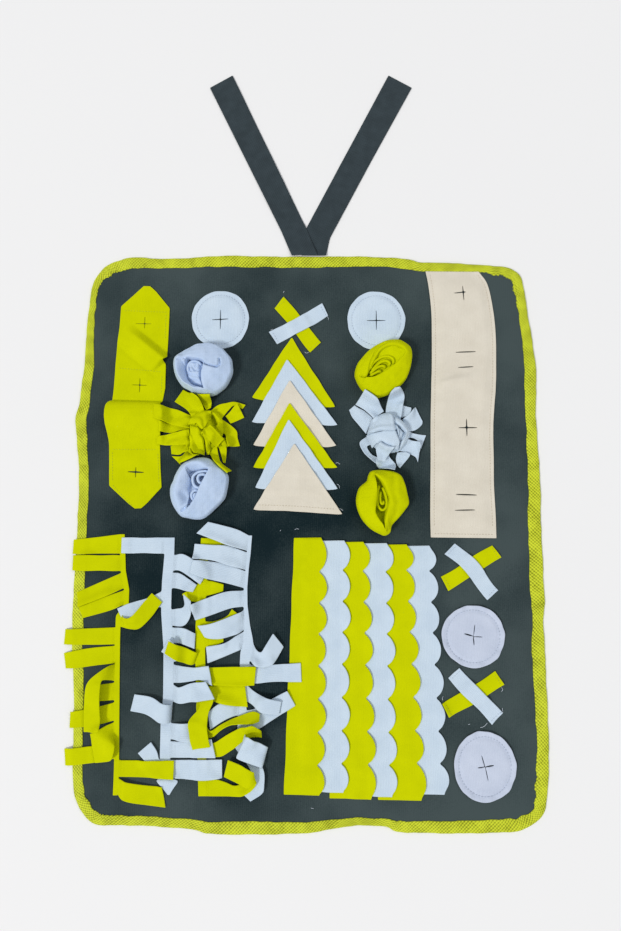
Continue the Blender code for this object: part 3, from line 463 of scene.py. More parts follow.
def openSlits(mesh, slits):  # cuts along the grid lines that lie on a slit, and draws its lips apart
    bm = bmesh.new()
    bm.from_mesh(mesh)
    for x1, y1, x2, y2, wide in slits:
        start, run = np.array([x1, y1]), np.array([x2 - x1, y2 - y1])
        length = math.hypot(*run)
        along, across = run / length, np.array([-run[1], run[0]]) / length

        def onSlit(vert):
            gap = np.array(vert.co[:2]) - start
            return abs(gap @ across) < 0.0004 and -0.0004 < gap @ along < length + 0.0004

        cut = [edge for edge in bm.edges if onSlit(edge.verts[0]) and onSlit(edge.verts[1])]
        bmesh.ops.split_edges(bm, edges=cut)
        for vert in [v for v in bm.verts if onSlit(v)]:
            share = (np.array(vert.co[:2]) - start) @ along / length
            if not 0.02 < share < 0.98 or not vert.link_faces:
                continue
            middle = np.mean([np.array(face.calc_center_median()[:2]) for face in vert.link_faces], axis=0)
            side = math.copysign(1.0, (middle - start) @ across)
            apart = side * wide / 2 * math.sin(math.pi * share) ** 0.7
            vert.co.x += across[0] * apart
            vert.co.y += across[1] * apart
    bm.to_mesh(mesh)
    bm.free()


def snapToSlits(x, y, slits):  # moves the nearest grid line on to each slit
    for x1, y1, x2, y2, _ in slits:
        r, c = divmod(int(np.argmin((x - (x1 + x2) / 2) ** 2 + (y - (y1 + y2) / 2) ** 2)), x.shape[1])
        if abs(x2 - x1) > abs(y2 - y1):
            run, near, ends, sides = x[r], y[r], (x1, x2), (y1, y2)
        else:
            run, near, ends, sides = y[:, c], x[:, c], (y1, y2), (x1, x2)
        inside = (run > min(ends) - 0.0025) & (run < max(ends) + 0.0025)
        near[inside] = np.interp(run[inside], sorted(ends), sides if ends[0] < ends[1] else sides[::-1])
        for end in ends:
            run[np.argmin(abs(run - end))] = end


def laySheet(name, node, material, x, y, lifts, slits=(), uv=None, area=None, sag=0.0003,
             thick=fleece):
    z = ground.settle(x, y, sag) + lifts
    ground.lay(x, y, z + thick)
    points = np.stack([x, y, z + thick / 2], -1)
    number = np.arange(x.size).reshape(x.shape)
    faces = gridFaces(number)
    across, down = points[0, 1, :2] - points[0, 0, :2], points[1, 0, :2] - points[0, 0, :2]
    if across[0] * down[1] < across[1] * down[0]:
        faces = [face[::-1] for face in faces]
    mesh = bpy.data.meshes.new(name)
    mesh.from_pydata(points.reshape(-1, 3).tolist(), [], faces)
    if len(slits):
        openSlits(mesh, slits)
    if uv is None:
        uv = np.array([vert.co[:2] for vert in mesh.vertices])
    setMap(mesh, uv)
    piece = makePiece(name, mesh, material, node, thick)


def circle(radius, sides):
    turns = 2 * math.pi * np.arange(sides) / sides
    return np.column_stack([radius * np.cos(turns), radius * np.sin(turns)])


def sweep(path, sections):  # a closed tube: rows of (side, up) offsets carried along a path
    ahead = np.gradient(path, axis=0)
    side = np.column_stack([-ahead[:, 1], ahead[:, 0]])
    side /= np.maximum(np.hypot(*side.T), 1e-9)[:, None]
    sections = np.array(sections)
    level = path[:, None, 2] + sections[..., 1]
    places = path[:, None, :2] + side[:, None] * sections[..., :1]
    return np.concatenate([places, level[..., None]], -1), tubeFaces(*sections.shape[:2])


class Lump:  # several closed forms gathered into one mesh
    def __init__(self):
        self.points, self.faces = [], []

    def add(self, points, faces):
        start = len(self.points)
        self.points += points.reshape(-1, 3).tolist()
        self.faces += [[start + k for k in face] for face in faces]

    def build(self, name, material, node=None, uv=None):
        mesh = bpy.data.meshes.new(name)
        mesh.from_pydata(self.points, [], self.faces)
        bm = bmesh.new()
        bm.from_mesh(mesh)
        bmesh.ops.recalc_face_normals(bm, faces=bm.faces)
        bm.to_mesh(mesh)
        bm.free()
        setMap(mesh, np.array(self.points)[:, :2] if uv is None else uv)
        return makePiece(name, mesh, material, node)


stitch = {"long": 0.0023, "apart": 0.0036, "thick": 0.00028, "sides": 6,
          # along a stitch: how far each ring is from its middle, its size and how far it bows up
          "rings": [(-0.5, 0.45, -0.6), (-0.38, 0.95, 0.2), (0.0, 1.0, 0.7), (0.38, 0.95, 0.2),
                    (0.5, 0.45, -0.6)]}


def addStitches(lump, line, rise=0.0001):  # a running stitch along a line, on top of what lies there
    along, size, bow = np.array(stitch["rings"]).T
    sections = [circle(stitch["thick"], stitch["sides"]) * k for k in size]
    places, run = evenSteps(curveThrough(line), 0.0004)
    for k in range(int(run[-1] / stitch["apart"])):
        stations = (k + 0.5) * stitch["apart"] + along * stitch["long"]
        x, y = resample(places[:, :2], run, stations).T
        z = ground.at(x, y).mean() + rise + bow * stitch["thick"]
        lump.add(*sweep(np.column_stack([x, y, z]), sections))


def addThread(lump, line, thick):  # a loose thread end or a bit of lint
    places, _ = evenSteps(curveThrough(line), 0.0008)
    count = len(places)
    rise = np.interp(np.arange(count), np.linspace(0, count - 1, len(line)), line[:, 2])
    z = ground.at(*places[:, :2].T) + thick + rise
    lump.add(*sweep(np.column_stack([places[:, :2], z]), [circle(thick, 5)] * count))


# ---- the panel and its binding ----

matEdge = {  # the mat's outer edge in millimetres, clockwise: x, y and how far the binding covers it
    "top": [(-262, 335, 14), (-246, 343, 15), (-228, 347, 15), (-181, 345, 13), (-108, 349, 15),
        (-50, 348, 15), (0, 348, 15), (50, 348, 14), (92, 347, 13), (128, 344, 14), (141, 340, 12),
        (170, 340, 13), (214, 337, 10), (235, 335, 12), (251, 334, 13)],
    "right": [(266, 325, 13), (272, 309, 13), (276, 274, 12), (281, 234, 13), (284, 190, 15),
        (281, 142, 13), (282, 100, 14), (283, 53, 15), (282, 3, 16), (282, -66, 17), (282, -91, 16),
        (279, -115, 13), (280, -140, 16), (280, -188, 15), (280, -248, 14), (277, -295, 15),
        (272, -325, 13), (262, -338, 13)],
    "bottom": [(244, -347, 14), (220, -350, 15), (171, -351, 14), (123, -350, 13), (99, -349, 12),
        (86, -343, 9), (58, -342, 9), (31, -345, 10), (2, -350, 12), (-46, -352, 14), (-82, -352, 15),
        (-117, -351, 13), (-133, -347, 11), (-153, -345, 11), (-182, -343, 11), (-216, -342, 11),
        (-243, -342, 12), (-257, -336, 13)],
    "left": [(-268, -323, 12), (-275, -306, 12), (-278, -283, 12), (-279, -236, 11), (-281, -188, 12),
        (-285, -140, 13), (-286, -90, 14), (-285, -20, 12), (-285, 25, 12), (-286, 72, 12), (-290, 108, 13),
        (-293, 136, 14), (-289, 157, 13), (-285, 207, 12), (-284, 247, 10), (-281, 292, 8),
        (-276, 317, 10)],
}
panel = {"thick": 0.0026, "low": 0.0011, "high": 0.0018, "wave": 0.0012, "rings": 62, "step": 0.0054,
         # soft creases of the felt: a line (mm), and its height and half width in metres
         "creases": [([(264, -262), (261, -280), (255, -300), (247, -320)], 0.0014, 0.0040),
                     ([(-237, -300), (-229, -311), (-226, -325)], 0.0012, 0.0045),
                     ([(216, 170), (240, 166), (252, 158)], 0.0009, 0.0060)]}
binding = {
    "step": 0.0024, "puff": 0.0005, "pucker": 0.0005, "teeth": 0.0011,
    # round the ribbon: share of its width in from the edge, height, share of the puff and of the folds
    "profile": [(1.00, 0.0, 0.0, 0.0), (0.50, 0.0, 0.0, 0.0), (0.10, 0.0001, 0.0, 0.0),
                (0.02, 0.0007, 0.0, 0.0), (0.00, 0.0015, 0.0, 0.0), (0.03, 0.0023, 0.3, 0.2),
                (0.12, 0.0028, 0.7, 0.6), (0.32, 0.0031, 1.0, 1.0), (0.55, 0.0031, 1.1, 1.2),
                (0.78, 0.0030, 0.8, 1.2), (0.93, 0.0029, 0.35, 1.0), (1.00, 0.0028, 0.1, 0.7),
                (1.01, 0.0024, 0.1, 0.7), (0.95, 0.0020, 0.0, 0.0), (0.15, 0.0020, 0.0, 0.0),
                (0.12, 0.0014, 0.0, 0.0), (0.15, 0.0008, 0.0, 0.0), (0.95, 0.0008, 0.0, 0.0)],
}


def edgeLoop(step):  # places on the edge, the outward direction, the binding's width, and the distance run
    rows = mm([row for side in matEdge.values() for row in side])
    line, run = evenSteps(curveThrough(rows, closed=True), step, closed=True)
    ahead = np.roll(line[:, :2], -1, axis=0) - np.roll(line[:, :2], 1, axis=0)
    outward = np.column_stack([-ahead[:, 1], ahead[:, 0]]) / np.hypot(*ahead.T)[:, None]
    return line[:, :2], outward, line[:, 2], run


def nearCorner(places):  # 1 at the rounded corners, where the ribbon is gathered, and 0 along the sides
    reach = np.abs(places) / np.array([0.262, 0.325])
    return np.clip((reach.min(1) - 0.80) / 0.12, 0, 1)


def panelTop(x, y, inner):  # gentle unevenness of the felt, none at its edge
    waves = 0.5 + 0.5 * ripple(x, y, 0.17, 2.0) + 0.25 * ripple(x, y, 0.06, 5.0)
    top = panel["wave"] * np.clip(waves, 0, 1.6)
    for line, height, wide in panel["creases"]:
        places, _ = evenSteps(curveThrough(mm(line)), 0.002)
        top = top + height * np.exp(-(nearestOn(places, x, y) / wide) ** 2)
    return panel["thick"] + top * inner


def level(ring, z):  # a ring of places, each with its height
    return np.column_stack([ring, np.zeros(len(ring)) + z])


def makePanel():
    edge, outward, width, _ = edgeLoop(panel["step"])
    low, high = panel["low"], panel["high"]
    insets = [(width + 0.005, 0.0), (width + 0.001, low), (0.0021, low), (0.0021, high), (width * 0.55, high),
              (width + 0.0005, high + 0.0003)]
    rings = [level(edge - outward * (width * 0 + inset)[:, None], z) for inset, z in insets]
    inner = edge - outward * (width + 0.004)[:, None]
    for k in range(panel["rings"] + 1):
        ring = inner * (1 - k / panel["rings"] * 0.985)
        rings.append(level(ring, panelTop(*ring.T, min(1.0, k / 3))))
    points = np.array(rings)
    lump = Lump()
    lump.add(points, tubeFaces(*points.shape[:2]))
    top = np.concatenate([points[5:], points[5:, :1]], axis=1)
    ground.lay(*np.moveaxis(top, -1, 0))
    piece = lump.build("panelFelt", "slateFelt", "panel")


def makeBinding():
    edge, outward, width, run = edgeLoop(binding["step"])
    corner = nearCorner(edge)

    def waves(size, seed):
        return ripple(run, run * 0, size, seed)

    teeth = waves(0.0072, 3.0) * (0.45 + 1.8 * corner) * binding["teeth"]
    width = width + teeth + 0.0006 * waves(0.05, 8.0)
    edge = edge + outward * (0.0005 * waves(0.045, 6.0) + 0.0003 * waves(0.014, 4.0))[:, None]
    puff = binding["puff"] * (0.6 + 0.4 * waves(0.05, 1.0)) * (1 + 0.8 * corner)
    folds = binding["pucker"] * waves(0.011, 7.0) * (0.35 + 1.3 * corner)
    share, height, soft, fold = np.array(binding["profile"]).T
    places = edge[:, None] - outward[:, None] * (width[:, None] * share)[..., None]
    z = height + puff[:, None] * soft + folds[:, None] * fold
    points = np.concatenate([places, np.maximum(z, 0.0)[..., None]], -1)
    lump = Lump()
    lump.add(points, tubeFaces(*points.shape[:2], closed=True))
    around = np.concatenate([[0.0], np.cumsum(np.linalg.norm(np.diff(points[0], axis=0), axis=1))])
    uv = np.stack(np.broadcast_arrays(run[:, None], around), -1)
    piece = lump.build("bindingRibbon", "limeRibbon", "binding", uv)
    top = np.concatenate([points[:, 4:12], points[:1, 4:12]])
    ground.lay(*np.moveaxis(top, -1, 0))


# ---- the ties ----

ties = {  # a seed for the unevenness, and rows across the tie (mm): its left end and its right end
    "tie_right": (6.0, [(104, 602, 135, 584), (49, 494, 79.5, 479), (-6, 386, 25, 373),
                        (-12, 348.6, 20, 348.6)]),
    "tie_left": (3.0, [(-134, 584, -104, 602), (-85.5, 482.5, -55, 495), (-37, 381, -6, 388),
                       (-24, 348.6, 9, 348.6)]),
}


def fullRows(rows):  # both ends and their heights: no height is 0, and one height is for both ends
    return np.array([[*row, *((row[4:] or (0,)) * 2)][:6] for row in rows], float)


def flatMap(offset, run):  # the way across the cloth and along it, for every corner of a grid
    return np.stack([offset, np.repeat(run[:, None], offset.shape[1], 1)], -1)


def rowGrid(rows, step, columns, edge=0.05):  # a fine grid between the two long edges that rows (mm) give
    rows = mm(rows)
    rows = np.column_stack([(rows[:, :2] + rows[:, 2:4]) / 2, rows])
    fine = [rows[0]]
    for a, b in zip(rows, rows[1:]):
        count = max(1, round(math.hypot(*(b - a)[:2]) / step))
        fine += [a + (b - a) * (k + 1) / count for k in range(count)]
    fine = np.array(fine)
    lip = min(0.0009 / step, 0.4)
    first = fine[:1] + (fine[1:2] - fine[:1]) * lip
    last = fine[-1:] + (fine[-2:-1] - fine[-1:]) * lip
    fine = np.concatenate([fine[:1], first, fine[1:-1], last, fine[-1:]])
    shares = withEdges(columns, edge)
    left, right = fine[:, 2:4], fine[:, 4:6]
    x, y = np.moveaxis(left[:, None] + (right - left)[:, None] * shares[:, None], -1, 0)
    lifts = fine[:, 6:7] + (fine[:, 7:8] - fine[:, 6:7]) * shares
    wide = np.hypot(*(right - left).T)[:, None]
    return x, y, lifts, shares, flatMap(wide * (shares - 0.5), lengths(fine))


def makeTies():
    for node, (seed, rows) in ties.items():
        x, y, _, _, uv = rowGrid(fullRows(rows), 0.006, 6)
        run = uv[..., 1]
        bow = 0.0012 * np.clip(ripple(x, y, 0.16, seed), 0, 1)
        fade = np.clip(np.minimum(run, run.max() - run) / 0.03, 0, 1)
        laySheet(node + "Tape", node, "webbing", x, y, bow * fade, uv=uv, thick=0.0012)


# ---- round patches and the long pocket ----

patch = {"cells": 34, "stitching": 0.84}
patches = {
    # material, middle, half sizes (mm), how far the rim stands up (mm), and the arms of the slit: their
    # two ends (mm from the middle) and their width
    "patch_top_left": ("iceFleece", (-114, 263), (36.3, 37.9), 0.3, [(-11.5, -0.8, 11.5, 0.8, 0.9),
        (0.3, -13.5, 0.3, 13, 0.8)]),
    "patch_top_right": ("iceFleece", (83, 262), (36.7, 38.2), 0.3, [(-12.5, -0.6, 12.5, -0.6, 0.9),
        (0.3, -13.5, 0.3, 13.5, 0.8)]),
    "patch_low_upper": ("lilacFleece", (194, -128), (37.7, 36.5), 2.7, [(-11.5, 3.5, 0, 0, 1.5),
        (0, 0, 12, -1, 0.6), (0, 0, 2.5, 14, 0.7), (0, 0, 0.6, -11, 1)]),
    "patch_low_lower": ("lilacFleece", (203, -276), (36.2, 39.6), 2.5, [(-9.5, -1.5, 0, 0, 1),
        (0, 0, 11.5, 2, 1.4), (0, 0, -4, 13.5, 0.8), (0, 0, 3.5, -16, 0.6)]),
}


def makePatches():
    seams = Lump()
    u, v = disc(withEdges(patch["cells"] + 1, 0.012) * 2 - 1)
    angle, size = np.arctan2(v, u), np.hypot(u, v)
    ring = patch["stitching"]
    rim = np.clip((size - ring) / (1 - ring), 0, 1)
    frill = rim**0.7 * (1 - 0.45 * rim) * (1 + 0.35 * np.sin(9 * angle + 2) + 0.25 * np.sin(17 * angle))
    inside = np.clip((1 - size / ring) * 8, 0, 1) ** 0.8
    puckers = np.exp(-((size - ring + 0.12) / 0.09) ** 2) * np.clip(0.3 - 0.7 * np.sin(angle), 0, 1)
    puckers = puckers * np.sin(38 * angle + 2 * np.sin(5 * angle))
    for node, (material, at, half, high, slits) in patches.items():
        uneven = 0.010 * np.sin(3 * angle + at[0]) + 0.006 * np.sin(7 * angle + 1)
        uneven = 1 + (uneven + 0.004 * np.sin(15 * angle)) * size**3
        (x0, y0), (wide, long) = mm(at), mm(half)
        x, y = x0 + u * uneven * wide, y0 + v * uneven * long
        slits = mm(slits) + [x0, y0, x0, y0, 0]
        snapToSlits(x, y, slits)
        swell = 0.0014 + 0.0005 * ripple(x, y, 0.035, 4.0 + at[0]) + 0.00022 * high * puckers
        lifts = high / 1000 * frill + inside * swell
        laySheet(node + "Cloth", node, material, x, y, lifts, slits,
                 area=math.pi * wide * long)
        turns = np.linspace(0, 2 * math.pi, 60)
        line = np.column_stack([x0 + ring * wide * np.cos(turns), y0 + ring * long * np.sin(turns)])
        addStitches(seams, line)
    seams.build("patchStitching", "greyThread")


pocket = {
    "seam": 0.0046, "puff": 0.0034,
    # rows from the top (mm): left end, right end; and the slits: their two ends and their width
    "rows": [(147, 327, 215, 326.5), (150, 309, 226, 309), (153, 274, 232, 274), (153, 239, 234, 239),
        (152, 200, 233, 200), (151, 181, 232, 181), (149, 129, 227, 129), (148, 85, 226, 85),
        (147, 53, 225, 53), (146, 15, 226, 15), (146, -11, 226, -12)],
    "slits": [(181, 297, 199, 299, 1), (194.5, 287, 193.5, 307.5, 0.8), (181.5, 220, 209, 221, 1),
        (184, 200.5, 206, 202, 0.9), (182, 124, 208, 124, 0.8), (193.5, 111.5, 193.5, 136.5, 1),
        (176, 41.5, 204, 40.5, 1.1), (175.5, 22, 202, 22.5, 1)],
}


def makePocket():
    x, y, _, _, _ = rowGrid(curveThrough(fullRows(pocket["rows"]), fine=4), 0.0034, 24, 0.012)
    slits = mm(pocket["slits"])
    snapToSlits(x, y, slits)
    fromSide = np.minimum(x - x[:, :1], x[:, -1:] - x)
    fromEnd = np.minimum(y[:1] - y, y - y[-1:])
    seam = pocket["seam"]
    loose = np.clip((fromSide - seam) / 0.010, 0, 1) * np.clip((fromEnd - 0.002) / 0.02, 0, 1)
    lifts = pocket["puff"] * loose * (0.50 + 0.22 * ripple(x, y, 0.11, 1.0) + 0.06 * ripple(x, y, 0.035, 2.0))
    # a slanting wrinkle below the second pair of slits
    wrinkle = np.exp(-((y - 0.186 - (x - 0.190) * 0.25) / 0.0045) ** 2) * np.exp(-((x - 0.178) / 0.022) ** 2)
    lifts += 0.0042 * wrinkle * loose + 0.0004 * (fromSide < 0.003)
    laySheet("longPocketCloth", "pocket_strip", "sandFleece", x, y, lifts, slits)
    seams = Lump()
    for edge, sign in ((x[:, 0], 1), (x[:, -1], -1)):
        addStitches(seams, np.column_stack([edge + sign * seam, y[:, 0]])[2:-2:4])
    addStitches(seams, [(x[-1, 0] + 0.004, y[-1, 0] + 0.0045), (x[-1, -1] - 0.004, y[-1, -1] + 0.0045)])
    seams.build("pocketStitching", "sandThread")


# ---- the lime strip with its two slack tunnels ----

tunnel = {
    # rows from the top (mm): left end, right end, and how high the ends stand
    "rows": [(-212, 307.3, -204.5, 307), (-218, 302, -197, 300.5), (-240.5, 280.5, -178.5, 278),
        (-241.5, 253, -179, 250), (-243.5, 233, -179.5, 230), (-244, 222, -180, 219),
        (-244.3, 215.5, -179.3, 213.2), (-244.6, 210, -184.5, 209.2), (-244.8, 206, -181.7, 205.6),
        (-245, 202, -181.4, 201), (-246, 173.5, -181.5, 174.5), (-247, 160, -184.3, 158),
        (-247.2, 158.2, -185.5, 156.5), (-248, 157.6, -186, 156, 2.5, 2),
        (-249, 156.6, -186, 155.2, 5.5, 4.5), (-250.5, 154.6, -185.5, 153.4, 8.3, 7),
        (-252.2, 151, -184.5, 150.5, 10.6, 9), (-252.8, 145, -184, 145, 12, 11),
        (-253, 137, -184, 136, 12, 11), (-252.3, 128, -184.4, 127, 9.8, 9),
        (-250.5, 117.5, -185, 117, 5.5, 5.2), (-249.3, 109, -185.6, 109, 2.2), (-249, 103, -186, 103, 0.4),
        (-249, 99.5, -186, 99.5, -0.3), (-248, 71.5, -184.5, 71.5), (-247, 52, -182.5, 50),
        (-222, 29.5, -200, 30.5), (-214.5, 24, -207, 24.3)],
    "slits": [(-221, 258, -200.5, 257.5, 0.2), (-209.5, 250.5, -209.5, 267, 0.15),
        (-224, 179, -203.5, 178, 0.3), (-213.5, 169, -213.5, 188, 0.25), (-225.5, 69.5, -204.5, 68.5, 1.6),
        (-215, 62, -215, 76, 0.6)],
    # the upper tunnel lies squashed aslant: its crest's two ends, how far it spreads below the crest and
    # above it at each end, its height, and the cut end of its flap
    "crest": ((-225, 244.5), (-179, 206.5)), "spread": (23, 9, 9.5), "height": 9.5,
    "flap": ((-179.5, 212.5), (-195.5, 199)),
    # lines of stitches (mm): both ends
    "seams": [(-236, 274.5, -182, 272.5), (-241, 200, -186, 195), (-245, 97, -188, 97),
        (-183, 270, -183.5, 236), (-186, 190, -186.5, 166), (-244.5, 94, -243, 56), (-188.5, 92, -186, 54),
        (-243, 53, -217, 26)],
}


def makeTunnelStrip():
    x, y, lifts, _, _ = rowGrid(fullRows(tunnel["rows"]), 0.0020, 27, 0.012)
    slits = mm(tunnel["slits"])
    snapToSlits(x, y, slits)
    (x1, y1), (x2, y2) = mm(tunnel["crest"])
    length = math.hypot(x2 - x1, y2 - y1)
    share = ((x - x1) * (x2 - x1) + (y - y1) * (y2 - y1)) / length**2
    below = ((x - x1) * (y2 - y1) - (y - y1) * (x2 - x1)) / length * 1000
    rise = np.clip(share * 1.6 + 0.35, 0, 1)
    wide, narrow, broad = tunnel["spread"]
    above = narrow + (broad - narrow) * np.clip(share, 0, 1)
    tent = np.where(below > 0, 1 - below / wide, 1 + below / above)
    (x3, y3), (x4, y4) = mm(tunnel["flap"])
    inside = ((x - x3) * (y4 - y3) - (y - y3) * (x4 - x3)) / math.hypot(x4 - x3, y4 - y3) * 1000
    cut = np.clip(0.5 + inside / 1.6, 0, 1)
    valley = 0.0014 * np.exp(-((below - wide) / 1.8) ** 2) * (share > 0) * (share < 1)
    lifts = lifts + tunnel["height"] / 1000 * np.clip(tent, 0, 1) * rise**1.5 * (3 - 2 * rise) * cut - valley
    lifts = np.maximum(lifts, -0.0006) + 0.0005 * np.clip(ripple(x, y, 0.05, 9.0), 0, 1)
    laySheet("tunnelStripCloth", "tunnel_strip", "limeFleece", x, y, lifts, slits,
             area=0.0182)
    seams = Lump()
    for x1, y1, x2, y2 in mm(tunnel["seams"]):
        addStitches(seams, [(x1, y1), (x2, y2)])
    seams.build("tunnelStitching", "limeThread")


# ---- the triangles ----

triangles = {  # material, apex, left and right corner (mm)
    "triangle_1": ("limeFleece", (-24, 240), (-74, 161), (32, 149)),
    "triangle_2": ("iceFleece", (-29, 211), (-74, 130), (35, 126)),
    "triangle_3": ("sandFleece", (-26, 184), (-72, 101), (33, 100)),
    "triangle_4": ("limeFleece", (-26, 155), (-72, 73), (34, 73)),
    "triangle_5": ("iceFleece", (-27, 134), (-69, 48), (35, 47)),
    "triangle_6": ("sandFleece", (-20, 104), (-71, 22), (40, 16)),
}


def makeTriangles():
    downs = withEdges(26, 0.010)[:, None]
    downs[0] = 0.012
    downs[1] = 0.022
    shares = withEdges(22, 0.012)
    nipped = np.abs(2 * shares - 1) ** 14 * np.clip((downs - 0.95) / 0.05, 0, 1)
    for number, (node, (material, *corners)) in enumerate(triangles.items()):
        apex, left, right = mm(corners)
        start, end = apex + (left - apex) * downs, apex + (right - apex) * downs
        x, y = np.moveaxis(start[:, None] + (end - start)[:, None] * shares[:, None], -1, 0)
        bow = 0.0012 * np.sin(math.pi * shares) * downs * (1 if number % 2 else -1)
        y = y + bow * (downs > 0.5) + 0.0005 * ripple(x, y, 0.03, number + 1.0) * (downs > 0.6)
        x = x + 0.0006 * ripple(y, x, 0.035, number + 2.0)
        y = y + 0.0016 * nipped
        x = x - 0.0014 * nipped * np.sign(shares - 0.5)
        # the right edges stand up a little, and the corners most
        curl = shares**9 * (0.0007 + 0.0005 * ripple(y, x, 0.04, number + 6.0)) * np.clip(downs * 2, 0, 1)
        lifts = 0.0005 * np.clip(ripple(x, y, 0.05, number + 4.0), 0, 1) + curl + 0.0010 * nipped
        wide, tall = math.hypot(*(right - left)), apex[1] - (left[1] + right[1]) / 2
        laySheet(node + "Cloth", node, material, x, y, lifts, area=wide * tall / 2, sag=0.0005)
    seams = Lump()
    addStitches(seams, mm([(-64, 28.5), (-20, 27), (33, 23)]))
    seams.build("triangleStitching", "sandThread")


# ---- the scalloped strips ----

scallops = {
    "fine": 13, "depth": 0.0105, "curl": 0.0009,
    "notches": (-51, -88, -124, -161, -199, -236.5, -273),
}
# material, sewn edge and notches at the top and at the bottom, and the strip's top and bottom (mm)
scallopStrips = {
    "scallop_6": ("iceFleece", (104, 110), (141, 151), (-22, -306)),
    "scallop_5": ("limeFleece", (77, 78), (113, 124), (-20, -313)),
    "scallop_4": ("iceFleece", (50, 53), (89, 90), (-18, -309)),
    "scallop_3": ("limeFleece", (25, 22), (61, 66), (-16, -312)),
    "scallop_2": ("iceFleece", (-2, -6), (38, 34), (-14, -305)),
    "scallop_1": ("limeFleece", (-20, -31), (10, 6), (-10, -309)),
}


def scallopRun(stops, number):  # places down a strip, and how far its edge bulges out at each of them
    downs, bulges = [], []
    last = len(stops) - 2
    for k, (a, b) in enumerate(zip(stops, stops[1:])):
        phases = np.linspace(0, 1, scallops["fine"], endpoint=k == last)
        bulge = np.sin(math.pi * phases**1.06) ** 0.60
        if k == 0:
            bulge = np.where(phases < 0.35, np.maximum(bulge, 0.30), bulge)
        if k == last:
            bulge = np.where(phases > 0.65, np.maximum(bulge, 0.40), bulge)
        downs.append(a + (b - a) * phases)
        bulges.append(bulge * (1 + 0.06 * math.sin(number + k * 1.9)))
    return np.concatenate(downs), np.concatenate(bulges)


def makeScallops():
    for number, (node, (material, *edges, ends)) in enumerate(scallopStrips.items()):
        top, bottom = mm(ends)
        shift = 0.0012 * math.sin(number * 2.1)
        ys, bulges = scallopRun([top, *(mm(scallops["notches"]) + shift), bottom], number)
        downs = (ys - top) / (bottom - top)
        sewn, notch = ((first + (last - first) * downs) / 1000 for first, last in edges)
        edge = notch + scallops["depth"] * bulges
        sewn = sewn + 0.0006 * ripple(ys, ys * 0, 0.06, number + 1.0)
        body = notch - 0.004
        columns = [sewn, sewn + 0.0006]
        columns += [sewn + (body - sewn) * s for s in (0.17, 0.34, 0.5, 0.67, 0.84, 1.0)]
        columns += [body + (edge - body) * s for s in (0.25, 0.5, 0.75, 0.94, 1.0)]
        x = np.column_stack(columns)
        y = np.repeat(ys[:, None], x.shape[1], 1)
        # the strips' ends run slightly aslant, as their neighbours' do
        y += 0.004 * (x - 0.06) / 0.12 * (0.5 - downs[:, None]) * (np.abs(downs[:, None] - 0.5) > 0.49)
        outer = np.clip((x - notch[:, None]) / scallops["depth"], 0, 1)
        lifts = scallops["curl"] * outer**1.5 * (1 + 0.5 * np.sin(ys * 310 + number)[:, None])
        lifts += 0.0006 * np.clip(ripple(x, y, 0.07, number + 3.0), 0, 1)
        flat = (abs(notch - sewn).mean() + scallops["depth"], top - bottom)
        laySheet(node + "Cloth", node, material, x, y, lifts, sag=0.0005)


# ---- the crossed strips ----

crosses = {"wide": 0.0185}
crossStrips = {  # material, both ends (mm), how each end is turned (degrees), and how far it sways (m)
    "cross_top_under": ("limeFleece", (-40, 285.5, 7, 227), (-14, -4), 0.0009),
    "cross_top_over": ("iceFleece", (-47, 238, 19, 276), (-4, 5), 0.0009),
    "cross_middle_under": ("limeFleece", (161, -66, 226, -28), (4, -6), 0.0009),
    "cross_middle_over": ("iceFleece", (169, -24, 221, -78), (0, 4), 0.0028),
    "cross_low_under": ("limeFleece", (159, -214, 224, -176), (4, -3), 0.0009),
    "cross_low_over": ("iceFleece", (170, -170, 219, -223), (2, -3), 0.0009),
}


def makeCrosses():
    seams = {"limeFleece": Lump(), "iceFleece": Lump()}
    downs = withEdges(20, 0.012)
    shares = withEdges(6, 0.05) - 0.5
    for number, (node, (material, ends, skew, sway)) in enumerate(crossStrips.items()):
        start, run = mm(ends[:2]), mm(ends[2:]) - mm(ends[:2])
        length = math.hypot(*run)
        along, side = run / length, np.array([-run[1], run[0]]) / length
        skew = np.tan(np.radians(np.interp(downs, [0, 1], skew))) * (np.abs(downs - 0.5) * 2) ** 3
        offset = shares * (crosses["wide"] * (1 + 0.035 * np.sin(downs * 9 + number)))[:, None]
        place = downs[:, None] * length + offset * skew[:, None]
        swayed = offset + sway * np.sin(downs * 5 + number * 2)[:, None]
        x, y = np.moveaxis(start + place[..., None] * along + swayed[..., None] * side, -1, 0)
        cup = 0.0006 * (2 * shares) ** 2 * np.sin(math.pi * downs)[:, None]
        tips = 0.0008 * np.clip((np.abs(downs - 0.5) - 0.4) / 0.1, 0, 1)[:, None]
        tips = tips * (1 + np.sin(number + shares * 5))
        laySheet(node + "Cloth", node, material, x, y, cup + tips,
                 uv=np.stack([offset, place], -1), sag=0.0004)
        for place in (0.0032, length - 0.0032):
            middle = start + along * place
            addStitches(seams[material], [middle - side * 0.0075, middle + side * 0.0075], rise=0.00005)
    seams["limeFleece"].build("limeCrossStitching", "limeThread")
    seams["iceFleece"].build("paleCrossStitching", "greyThread")


# ---- rolled roses ----

